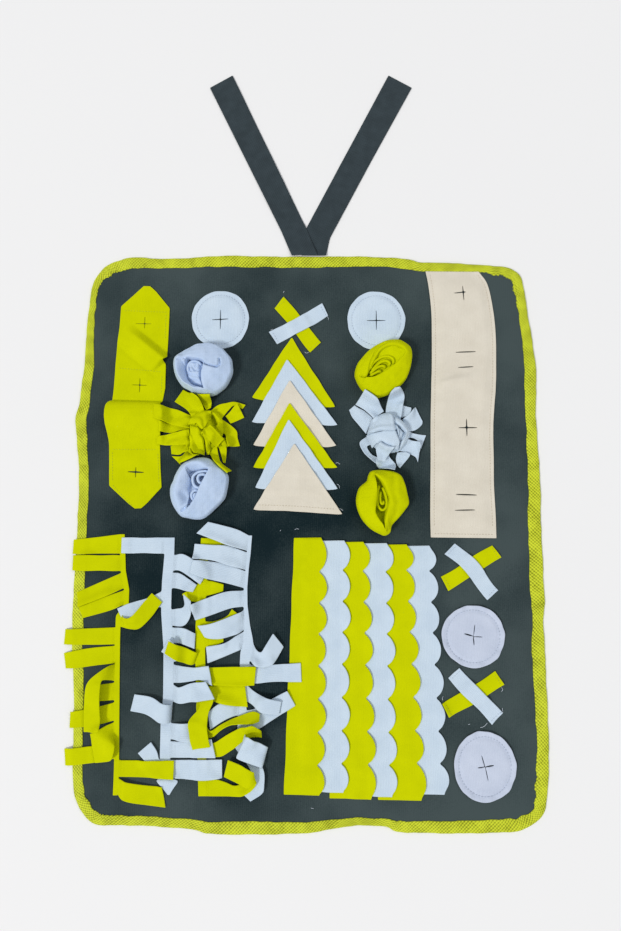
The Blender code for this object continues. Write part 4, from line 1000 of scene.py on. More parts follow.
roses = {
    "height": 0.026, "spokes": 180, "sheet": 0.0030,
    # up the side: share of the outline's size, and share of the height
    "side": [(0.70, 0.0), (0.84, 0.03), (0.93, 0.10), (0.98, 0.20), (1.0, 0.33), (0.995, 0.46),
        (0.975, 0.58)],
    # outline seen from above, the mouth's outline, and turns of the roll inside it (mm); rim: direction in
    # degrees, where between outline and mouth the cloth is highest, and how far it drops from there to the
    # mouth; bottom: how high the mouth's bottom is (share of the height), and how much more per millimetre
    # in x and y; bud: how far the inside swells up; folds inside and creases outside: a line, its depth and
    # its half width
    "rose_upper_left": {
        "material": "roseShadedIceFleece", "bottom": (0.44, 0, 0.002), "bud": 0.34,
        "outline": [(-170, 205), (-168, 211.5), (-160.5, 217), (-152.5, 221.5), (-143, 227), (-135, 228.5),
            (-127, 229), (-118.5, 227.5), (-109.5, 222.5), (-103.5, 216), (-98, 209), (-96.5, 200.5),
            (-96, 192), (-99, 183), (-104, 174), (-112.5, 166.5), (-120.5, 162.5), (-132.5, 162),
            (-142, 164.5), (-150, 169.5), (-158, 174), (-164.5, 182.5), (-168, 190.5), (-169.5, 197.5)],
        "mouth": [(-150.5, 207), (-143.5, 206.5), (-135.5, 205.5), (-131.5, 203), (-131.5, 196),
            (-133.5, 189), (-133, 178), (-130.5, 169.5), (-136.5, 171.5), (-145, 175.5), (-150.5, 181.5),
            (-153, 190), (-153.5, 201)],
        "rim": [(0, 0.9, 0.05), (60, 0.95, 0.02), (120, 0.95, 0.03), (138, 0.92, 0.05), (150, 0.34, 0.46),
            (180, 0.26, 0.5), (230, 0.3, 0.5), (262, 0.45, 0.4), (285, 0.75, 0.14), (320, 0.9, 0.06)],
        "turns": [([(-134, 199), (-138, 203), (-143, 204), (-148, 202), (-150.5, 197), (-150, 191)], 0.76)],
        "folds": [([(-145, 198), (-148, 196.5), (-148.5, 193.5), (-145.5, 191.5)], 0.0034, 0.0014),
            ([(-139.5, 198), (-143, 195.5), (-142, 192.5), (-136, 192)], 0.004, 0.0015), ([(-149.5, 188),
            (-144.5, 186), (-136, 184)], 0.0026, 0.0015), ([(-147.5, 181.5), (-142, 180),
            (-136, 178.5)], 0.0026, 0.0015), ([(-134, 203), (-135, 199), (-134.5, 194)], 0.005, 0.0018)],
        "creases": [([(-131, 202), (-128, 199), (-121, 197), (-115, 196), (-111.5, 199),
            (-111.5, 206)], 0.0055, 0.0012), ([(-162, 205), (-156.5, 206), (-149.5, 206)], 0.003, 0.0014)],
    },
    "rose_lower_left": {
        "material": "roseShadedIceFleece", "bottom": (0.44, 0, -0.005), "bud": 0,
        "outline": [(-170, 45.5), (-169, 51.5), (-166.5, 57), (-164.5, 63.5), (-160, 72), (-155, 78.5),
            (-147, 83), (-137, 85.5), (-128, 85.5), (-120.5, 83), (-113, 77), (-104, 70), (-99.5, 62),
            (-100, 51), (-103, 37), (-108, 30), (-117.5, 20.5), (-123, 15.5), (-130.5, 11), (-139.5, 10.5),
            (-148, 12), (-155.5, 14), (-162, 21), (-167, 30), (-169.5, 38.5)],
        "mouth": [(-147.5, 65), (-142, 68.5), (-134, 70), (-122.5, 71), (-126, 62.5), (-132, 50.5),
            (-136, 40), (-141, 31), (-146, 26.5), (-146.5, 31), (-145.5, 35), (-145.5, 40), (-146.5, 47),
            (-144.5, 54.5), (-145, 60.5)],
        "rim": [(0, 0.95, 0.02), (50, 0.92, 0.05), (75, 0.45, 0.3), (100, 0.3, 0.42), (130, 0.34, 0.42),
            (180, 0.4, 0.36), (215, 0.34, 0.42), (240, 0.38, 0.36), (258, 0.85, 0.06), (300, 0.96, 0.02)],
        "turns": [([(-122.5, 68), (-129, 68), (-135.5, 66.5), (-140.5, 62.5), (-141.5, 57.5), (-140, 52),
            (-136, 48.5), (-131.5, 48.5)], 0.8), ([(-125.5, 63.5), (-130, 64.2), (-134, 62.7),
            (-135.2, 58.5), (-133.2, 54.5), (-129.5, 54)], 0.84), ([(-134.5, 45), (-139.5, 44.5),
            (-142.5, 40.5), (-142, 36), (-139.5, 32.5)], 0.76), ([(-136, 41.2), (-138.5, 40.5),
            (-139.3, 38), (-138, 35.5)], 0.8)],
        "folds": [],
        "creases": [([(-152, 41), (-148.5, 36), (-147.5, 31), (-151.5, 25)], 0.003, 0.0042), ([(-144, 28),
            (-148, 24.5), (-153, 20.5)], 0.0045, 0.0014)],
    },
    "rose_upper_right": {
        "material": "limeFleece", "bottom": (0.68, 0.003, 0.007), "bud": 0,
        "outline": [(54.5, 188.5), (55.5, 196), (58.5, 203.5), (63, 209.5), (70, 217.5), (78.5, 224.5),
            (87.5, 229.5), (97, 233), (109.5, 233.5), (116.5, 230.5), (123.5, 225), (126, 218.5),
            (126, 209.5), (123.5, 196.5), (118.5, 184), (110.5, 174.5), (102.5, 168.5), (96, 164),
            (87.5, 161), (79.5, 159), (72, 163.5), (64.5, 168.5), (58.5, 177), (55.5, 184)],
        "mouth": [(68.5, 184), (71.5, 190), (75, 197.5), (79.5, 205.5), (85.5, 215), (95.5, 221),
            (107, 221), (115.5, 214.5), (108, 204), (100.5, 197.5), (89, 189.5), (79, 184), (72, 182.5)],
        "rim": [(0, 0.95, 0.02), (40, 0.85, 0.1), (90, 0.8, 0.05), (140, 0.85, 0.06), (200, 0.85, 0.06),
            (240, 0.96, 0.01), (320, 0.96, 0.01)],
        "turns": [([(72.5, 193), (76, 199.5), (82, 205), (89, 208.5), (96, 208.5), (101, 205),
            (101, 200)], 0.9), ([(75, 191), (79.5, 196.5), (86, 201.5), (92.5, 203), (96.5, 200.5),
            (95.5, 197.5)], 0.93), ([(72.5, 188), (77, 191.5), (82.5, 195.5), (88.5, 197),
            (91.5, 194.5)], 0.9), ([(73, 185), (78, 188), (83.5, 190.5), (86.5, 190)], 0.86)],
        "folds": [],
        "creases": [([(71, 184), (66, 183), (61, 185)], 0.004, 0.0011), ([(71, 188), (73, 199), (78, 211),
            (84, 221), (92, 226)], 0.003, 0.0012), ([(108, 207), (106, 213),
            (108.5, 220)], 0.0014, 0.0016)],
    },
    "rose_lower_right": {
        "material": "limeFleece", "bottom": (0.36, 0, 0), "bud": 0,
        "outline": [(73.5, 69), (82.5, 70.5), (92, 70), (101, 68.5), (109.5, 64), (114, 55), (117, 43),
            (119, 30.5), (115.5, 23.5), (107, 13), (98, 3), (95.5, -5.5), (89.5, -9), (83, -7), (72.5, -1),
            (63, 9), (57.5, 20), (55, 31), (56, 40.5), (59.5, 49.5), (68, 57), (70, 63.5)],
        "mouth": [(76.5, 62.5), (79, 51.5), (79.5, 42), (78.5, 29), (77.5, 19), (81.5, 10.5), (85.5, 5),
            (88, -3), (87.5, 6.5), (89.5, 16), (92, 26), (93.5, 35.5), (91, 43), (87.5, 51.5), (83, 58)],
        "rim": [(0, 0.88, 0.05), (90, 0.8, 0.04), (180, 0.8, 0.05), (270, 0.86, 0.03)],
        "turns": [([(82.5, 51), (80.5, 43), (80, 33), (81, 26), (85.5, 21.5), (90, 24), (91.5, 30.5),
            (90, 40), (86.5, 49)], 0.72), ([(84.5, 44), (83.5, 37), (84.3, 30.5), (87, 29),
            (88, 33)], 0.66)],
        "folds": [],
        "creases": [([(100, 60), (99.5, 42), (103, 29), (99, 13), (96, 2)], 0.0016, 0.0045)],
    },
}


def radiusAt(points, middle, angles):  # how far a closed outline reaches from its middle, in each direction
    line = curveThrough(points, closed=True, fine=8) - middle
    turn = np.arctan2(line[:, 1], line[:, 0])
    order = np.argsort(turn)
    return np.interp(angles, turn[order], np.hypot(*line[order].T), period=2 * math.pi)


def makeRose(node):
    spec = roses[node]
    height = roses["height"]
    outline, mouth = mm(spec["outline"]), mm(spec["mouth"])
    cupMiddle = (outline.min(0) + outline.max(0)) / 2
    mouthMiddle = curveThrough(mouth, closed=True).mean(0)
    angles = 2 * math.pi * np.arange(roses["spokes"]) / roses["spokes"]
    ways = np.column_stack([np.cos(angles), np.sin(angles)])
    cup = cupMiddle + ways * radiusAt(outline, cupMiddle, angles)[:, None]
    lip = mouthMiddle + ways * radiusAt(mouth, mouthMiddle, angles)[:, None]
    rim = np.array(spec["rim"], float)
    crest, drop = (np.interp(np.degrees(angles), rim[:, 0], rim[:, k], period=360) for k in (1, 2))
    base = ground.at(*cup.T).min() + 0.0003
    rings = []
    for size, share in roses["side"]:
        rings.append(level(cupMiddle + (cup - cupMiddle) * size, base + share * height))
    start = cupMiddle + (cup - cupMiddle) * 0.94
    for t in np.concatenate([np.linspace(0, 0.94, 26), [0.97, 0.99, 1.0]]):
        rise = np.sin(np.clip(t / crest, 0, 1) * math.pi / 2)
        fall = np.clip((t - crest) / (1 - crest + 1e-6), 0, 1) ** 1.6
        soft = np.clip((t - 0.94) / 0.06, 0, 1) ** 2 * 0.05
        share = 0.70 + 0.30 * rise - drop * fall - soft
        rings.append(level(start + (lip - start) * t, base + share * height))
    edge = rings[-1][:, 2]

    def bottom(x, y, size=0.93):  # the rolled cloth inside swells up to a bud from the mouth's rim
        share, slopeX, slopeY = spec["bottom"]
        sloping = share + (x - mouthMiddle[0]) * 1000 * slopeX + (y - mouthMiddle[1]) * 1000 * slopeY
        return base + (np.clip(sloping, 0.2, 0.9) + spec["bud"] * (1 - (size / 0.93) ** 5)) * height

    for size, down in ((0.985, 0.0022), (0.97, 0.005), (0.95, 0.009), (0.93, 0.013)):
        ring = mouthMiddle + (lip - mouthMiddle) * size
        rings.append(level(ring, np.maximum(edge - down, bottom(*ring.T))))
    outside = len(rings)
    for size in (0.91, 0.88, 0.84, 0.79, 0.73, 0.66, 0.58, 0.50, 0.41, 0.32, 0.22, 0.12, 0.03):
        ring = mouthMiddle + (lip - mouthMiddle) * size
        inner = bottom(*ring.T, size)
        rings.append(level(ring, inner if spec["bud"] else np.minimum(bottom(*ring.T), edge - 0.001)))
    points = np.array(rings)
    x, y = points[..., 0], points[..., 1]
    for lines, place in ((spec["creases"], slice(0, outside)), (spec["folds"], slice(outside, None))):
        for line, depth, wide in lines:
            gap = nearestOn(curveThrough(mm(line)), x[place], y[place])
            cut = np.exp(-(gap / wide) ** 2) - 0.2 * np.exp(-(gap / wide / 3.2) ** 2)
            points[place, :, 2] -= depth * cut * (points[place, :, 2] > base + 0.45 * height)
    points[3:, :, 2] += (0.0004 * ripple(x, y, 0.022, 3.0) + 0.0003 * ripple(x, y, 0.009, 6.0))[3:]
    lump = Lump()
    lump.add(points, tubeFaces(*points.shape[:2]))
    half = roses["sheet"] / 2
    arc = half * np.exp(1j * np.radians(np.arange(0, 181, 22.5)))
    foot = base + spec["bottom"][0] * height - 0.006
    for line, top in spec["turns"]:
        path, run = evenSteps(curveThrough(mm(line)), 0.0012)
        ends = np.clip(np.minimum(run, run[-1] - run) / 0.003, 0, 1)
        tops = base + top * height - 0.0022 * (1 - ends) ** 2
        sections = []
        for high in tops:
            crown = [(a.real, high - foot - half + a.imag) for a in arc]
            sections.append([(-half, 0.0), (half, 0.0), *crown])
        lump.add(*sweep(level(path, foot), sections))
    piece = lump.build(node + "Roll", spec["material"], node)
    wide = np.concatenate([points[4:24], points[4:24, :1]], axis=1)
    ground.lay(wide[..., 0], wide[..., 1], np.maximum(wide[..., 2], base + 0.7 * height))


# ---- strips that lie on what is under them and share corners: pompoms and fringes ----

class ClothPile:  # sheets with shared corners gathered into one mesh, kept as the middle of the cloth
    def __init__(self, thick):
        self.thick, self.points, self.uv, self.faces, self.area = thick, [], [], [], 0.0

    def addGrid(self, x, y, z, uv, first=None):  # first: numbers of the corners that its first row shares
        skip = 0 if first is None else 1
        number = np.arange(x.size).reshape(x.shape) + len(self.points) - skip * x.shape[1]
        if skip:
            number[0] = first
        middle = np.stack([x, y, z + self.thick / 2], -1)
        self.points += middle[skip:].reshape(-1, 3).tolist()
        self.uv += uv[skip:].reshape(-1, 2).tolist()
        self.faces += gridFaces(number)
        across, along = np.diff(middle, axis=1)[:-1], np.diff(middle, axis=0)[:, :-1]
        self.area += float(np.linalg.norm(np.cross(across, along), axis=-1).sum())
        ground.lay(x, y, z + self.thick)
        return number

    def build(self, name, material, node, long, held):
        mesh = bpy.data.meshes.new(name)
        mesh.from_pydata(self.points, [], self.faces)
        setMap(mesh, self.uv)
        piece = makePiece(name, mesh, material, node, self.thick)
        self.area / long


# ---- pompoms ----

pompoms = {
    "thick": 0.0012,
    # Every strip is a list of rows across it, from its root to its end: left edge, right edge and how far
    # both stand above what they lie on (mm). The low ones come out from under the ball, the high ones wrap
    # it, and the tips are free ends over the creases. Creases, where the strips press into each other: a
    # line, how deep and how wide.
    "pompom_left": {
        "material": "limeFleece", "ball": (-128.5, 120.5, 20.5, 24, 21), "pit": (-118.5, 129.5, 4, 7),
        "low": [
            [(-129.5, 145.5, -123.5, 148.5, 5), (-134, 153.5, -122.5, 156, 3),
                (-138, 162.5, -122.5, 162.5, 0, 1)],
            [(-129, 100, -115, 101, 4), (-123, 90, -113, 89, 2, 3), (-113, 77, -109, 79, 1, 3),
                (-100, 65.5, -96.5, 70, 0, 2)],
            [(-149, 120.5, -149.5, 131.5, 4), (-161.5, 120.5, -165, 127, 3), (-172, 117.5, -172, 128, 1),
                (-186, 118.5, -185, 131.5)],
            [(-134.5, 88.5, -149, 100, 4, 6), (-145.5, 82.5, -153.5, 95, 1, 4),
                (-154, 79, -159, 88.5, 0, 2), (-159, 77.5, -171, 88.5, 0, 3)],
            [(-145.5, 94, -149, 108, 5, 6), (-155.5, 92, -160, 104.5, 4, 5),
                (-162.5, 90, -167.5, 102.5, 2, 4), (-171.5, 91, -172.5, 101, 1, 2)],
            [(-116, 105, -106, 105, 3, 7), (-113, 99, -103, 99, 1, 7), (-110, 89, -103.5, 89, 0, 4),
                (-107.5, 80.5, -105, 79.5, 0, 2)],
            [(-147, 99.5, -149, 121, 7), (-155.5, 101, -157.5, 119.5, 6, 5),
                (-172.5, 101, -171.5, 116.5, 2), (-185, 102.5, -185.5, 113), (-189.5, 103, -189.5, 112)],
            [(-145.5, 121, -143, 138, 8, 7), (-151.5, 122, -150.5, 140, 6, 5),
                (-171.5, 127, -165, 146.5, 3, 2), (-186, 132.5, -186.5, 151.5),
                (-192, 134.5, -192.5, 152.5)],
            [(-145, 135, -130, 143, 8, 7), (-148, 139.5, -131.5, 147, 6), (-154.5, 147, -137, 159, 4),
                (-169.5, 157, -159, 172.5)],
            [(-125, 143, -112, 132, 8, 6), (-115, 151.5, -107, 138.5, 7, 5),
                (-104.5, 154.5, -101, 146, 6, 5), (-94, 156, -94.5, 151.5, 6, 5),
                (-80.5, 152.5, -84.5, 147.5, 3, 1)],
            [(-90.5, 154, -105.5, 138, 2), (-86, 145, -102, 133.5, 3), (-82, 136.5, -99, 129, 2)],
            [(-112, 112.5, -110.5, 102.5, 2), (-104, 110.5, -101, 99, 4, 0)],
            [(-114, 131, -112, 115, 6), (-107.5, 132.5, -106.5, 116, 6, 5), (-92, 121, -104, 112.5, 3, 7),
                (-90, 111, -102, 105, 1, 6), (-87, 101, -100.5, 99, 0, 5)],
        ],
        "high": [
            [(-151, 112, -145.5, 112), (-150, 98.5, -145, 94), (-148, 92, -139.5, 86.5)],
            [(-131, 118.5, -121, 114), (-129, 107, -122, 100, 0.5, 0), (-128.5, 97, -123.5, 93.5, 0.5, 0),
                (-128, 90, -124, 90)],
            [(-122, 144.5, -122, 137.5, 0, 1), (-114, 140.5, -117.5, 132, 0, 1.5),
                (-108, 132, -114.5, 125.5, 0, 1.5), (-107, 122, -116.5, 120, 0, 1),
                (-107.5, 113.5, -120.5, 113)],
            [(-144.5, 131, -135, 129.5, 0.5, 1), (-146, 124, -132, 119, 0.5, 1),
                (-146.5, 111, -129.5, 107, 0.5, 1), (-146, 99.5, -129, 97, 1), (-141, 90.5, -130, 89, 2)],
            [(-148.5, 125, -141.5, 124, 0, 0.5), (-147, 132, -137.5, 126, 0.5, 1.5),
                (-139, 140, -134, 121, 0.5, 2), (-129, 144, -128.5, 119, 0.5, 2),
                (-121, 143, -122.5, 133, 0, 1)],
        ],
        "tips": [
            [(-130.5, 114, -121, 124.5, 2.2, 3), (-122.5, 105.5, -113, 116.5, 2),
                (-114.5, 97, -105, 108, 3)],
        ],
        "creases": [([(-115, 126.5), (-116.5, 122.5), (-113, 117.5), (-107.5, 113)], 0.003, 0.0013),
            ([(-142, 124.5), (-136, 123.5), (-132, 119)], 0.0035, 0.0013), ([(-132, 119), (-132.5, 114),
            (-129.5, 107.5), (-128.5, 99.5), (-129, 92)], 0.004, 0.0013), ([(-150, 118), (-148, 109.5),
            (-145.5, 103), (-148, 97)], 0.003, 0.0016), ([(-122.5, 100.5), (-123, 95.5),
            (-127, 90)], 0.004, 0.0014), ([(-145, 135), (-135, 141.5), (-122.5, 144.5), (-114, 141),
            (-108, 132.5)], 0.0025, 0.0015), ([(-121.5, 136), (-119, 131), (-117.5, 127)], 0.013, 0.0031)],
    },
    "pompom_right": {
        "material": "iceFleece", "ball": (96.5, 115.5, 24, 23.5, 20), "pit": (104.5, 119, 2.6, 4),
        "low": [
            [(68.5, 115.5, 77, 136, 5), (58.5, 128.5, 66.5, 145.5, 2), (51.5, 137.5, 60.5, 148.5, 1),
                (48, 146.5, 55, 152.5)],
            [(77.5, 134, 91, 144, 7), (66.5, 145, 80, 158, 5), (55.5, 152.5, 66.5, 168.5, 1)],
            [(113, 136.5, 122.5, 139, 3), (113, 145, 125, 146, 4), (114.5, 152, 125, 149, 3)],
            [(92.5, 138, 111.5, 134, 7), (93.5, 148, 113.5, 148, 4, 5), (95.5, 157, 117, 160.5, 2),
                (97.5, 164.5, 116.5, 167.5, 2, 1), (103, 170.5, 112, 172.5, 1)],
            [(113.5, 134, 120.5, 118, 6), (121.5, 140, 130.5, 121, 5, 4), (128, 148, 138, 127.5, 3, 1),
                (130.5, 149.5, 139, 132, 3, 1)],
            [(118, 118, 116.5, 106.5, 3), (126, 117, 124, 111.5, 3), (134.5, 115.5, 133.5, 106.5, 1, 4),
                (143, 114.5, 135.5, 96.5, 2, 6)],
            [(116, 109.5, 107, 95.5, 5, 4), (125, 107.5, 117.5, 92.5, 6, 3), (133.5, 105, 129, 87.5, 6, 1),
                (134, 95.5, 132, 80.5, 8, 3)],
            [(107, 93, 117.5, 93, 2, 1), (105, 85, 122, 88.5, 1, 3), (106.5, 77.5, 109.5, 73.5, 1, 3)],
            [(69.5, 113, 75.5, 103, 2), (60.5, 105, 70, 100.5, 5, 0), (65, 93.5, 72.5, 94, 6, 1),
                (72, 86, 77, 89.5, 6, 2), (80.5, 79, 86.5, 85.5, 4, 2)],
            [(83.5, 97.5, 100.5, 97.5, 6), (81.5, 88, 96.5, 88.5, 6, 5), (80, 79, 105, 77.5, 3),
                (84.5, 73, 101.5, 69.5)],
        ],
        "high": [
            [(100.5, 138, 102.5, 126), (112, 130.5, 109, 122.5, 0, 1.5), (119.5, 122.5, 115, 117, 0, 1.5),
                (121, 113.5, 115.5, 111.5, 0, 1), (116, 102.5, 109.5, 102, 0, 1), (108.5, 94, 105, 92.5)],
            [(68.5, 113.5, 76, 98, 1), (85, 118.5, 83, 103, 0.5, 1), (101, 119.5, 99, 97, 0.5, 1),
                (108, 105, 106.5, 94)],
            [(75.5, 133, 69, 113.5, 0, 0.5), (84, 138, 85.5, 117.5, 0.5, 1), (92, 141, 101, 117.5, 0.5, 1),
                (99.5, 139.5, 106, 120, 0, 1), (101, 138, 108.5, 107)],
            [(101.5, 97, 84.5, 104, 1.5), (94, 87, 79.5, 96, 2, 3), (90, 80, 82, 82, 4)],
        ],
        "tips": [],
        "creases": [([(68.5, 115.5), (77, 116.5), (86.5, 118)], 0.003, 0.0012), ([(100, 140), (101.5, 134),
            (103.5, 120.5), (106.5, 111.5), (109, 105.5)], 0.003, 0.0013), ([(101.5, 137), (112.5, 131.5),
            (120, 122), (122, 114), (116.5, 103), (108.5, 94.5)], 0.0022, 0.0012), ([(115.5, 118),
            (110.5, 105.5), (107, 94.5)], 0.003, 0.0012), ([(85.5, 104), (91.5, 100.5),
            (98, 98.5)], 0.0035, 0.0013), ([(103.5, 126.5), (109, 122.5), (113, 118.5)], 0.004, 0.0016),
            ([(76, 134), (70, 124.5), (68.5, 115.5)], 0.0025, 0.0013)],
    },
}


def makePompom(node):
    spec = pompoms[node]
    pile = ClothPile(pompoms["thick"])

    def addStrip(rows, seed, low=1.0, step=0.0016, columns=11):
        x, y, lifts, shares, uv = rowGrid(curveThrough(fullRows(rows), fine=5), step, columns, 0.06)
        z = ground.settle(x, y, 0.0004, rounds=30)
        lifts = lifts * low + 0.0007 * (2 * shares - 1) ** 2 + 0.0004 * ripple(x, y, 0.018, seed)
        pile.addGrid(x, y, z + np.maximum(lifts, 0), uv)

    for number, rows in enumerate(spec["low"]):
        addStrip(rows, number + 1.0, 0.6, 0.0024, 7)
    middleX, middleY, wide, long, top = mm(spec["ball"])
    pitX, pitY, pitWide, pitDeep = mm(spec["pit"])
    u, v = disc(np.linspace(-1, 1, 35))
    x, y = middleX + u * wide, middleY + v * long
    size = np.clip(u * u + v * v, 0, 1)
    z = 0.003 + (top - 0.003) * np.sqrt(1 - size**1.3 * 0.985)
    z -= pitDeep * np.exp(-((x - pitX) ** 2 + (y - pitY) ** 2) / pitWide**2)
    pile.addGrid(x, y, z, np.stack([x, y], -1))
    for number, rows in enumerate(spec["high"]):
        addStrip(rows, number + 5.0)
    x, y, z = np.array(pile.points).T
    for line, depth, wide in spec["creases"]:
        gap = nearestOn(curveThrough(mm(line)), x, y)
        carved = z - 1.7 * depth * np.exp(-(gap / wide) ** 2) * np.clip((z - 0.010) / 0.007, 0, 1)
        z = np.maximum(carved, np.minimum(z, 0.0045))
    pile.points = np.column_stack([x, y, z]).tolist()
    for number, rows in enumerate(spec["tips"]):
        addStrip(rows, number + 11.0)
    pile.build(node + "Strips", spec["material"], node, 0.12, "gathered")


# ---- fringes ----

fringes = {
    "thick": fleece, "width": 0.019,
    # node, material and the sewn margin of each strip: its left edge, its right edge and how far down the
    # mat (mm)
    "A": ("fringe_left_lime", "limeFleece", [(-232, -226, -7), (-229, -223, -51), (-224, -218, -73),
        (-224, -218, -92), (-233, -227, -104), (-233, -227, -133), (-230, -224, -247), (-229, -223, -276),
        (-229, -223.5, -308)]),
    "B": ("fringe_left_ice", "iceFleece", [(-177, -165, -11), (-177, -165, -32), (-179, -167, -64),
        (-179, -167, -100), (-175, -163, -144), (-174, -162, -197), (-176, -164, -228),
        (-176, -164, -290)]),
    "D": ("fringe_inner_lime", "limeFleece", [(-133, -123, -11.5), (-136, -125.5, -72),
        (-137.5, -126, -115), (-137, -125, -155), (-135, -124, -200), (-133, -122, -250),
        (-130, -120.5, -309)]),
    "C": ("fringe_inner_ice", "iceFleece", [(-75, -71, -8.5), (-77, -72.5, -31), (-78, -74.5, -48),
        (-80, -76, -71), (-80, -75.5, -92), (-79, -72.3, -115), (-80, -68, -134), (-83.5, -69, -146),
        (-84, -73, -160), (-84, -75, -180), (-84, -75, -205), (-86, -77, -236), (-88, -79, -256)]),
}
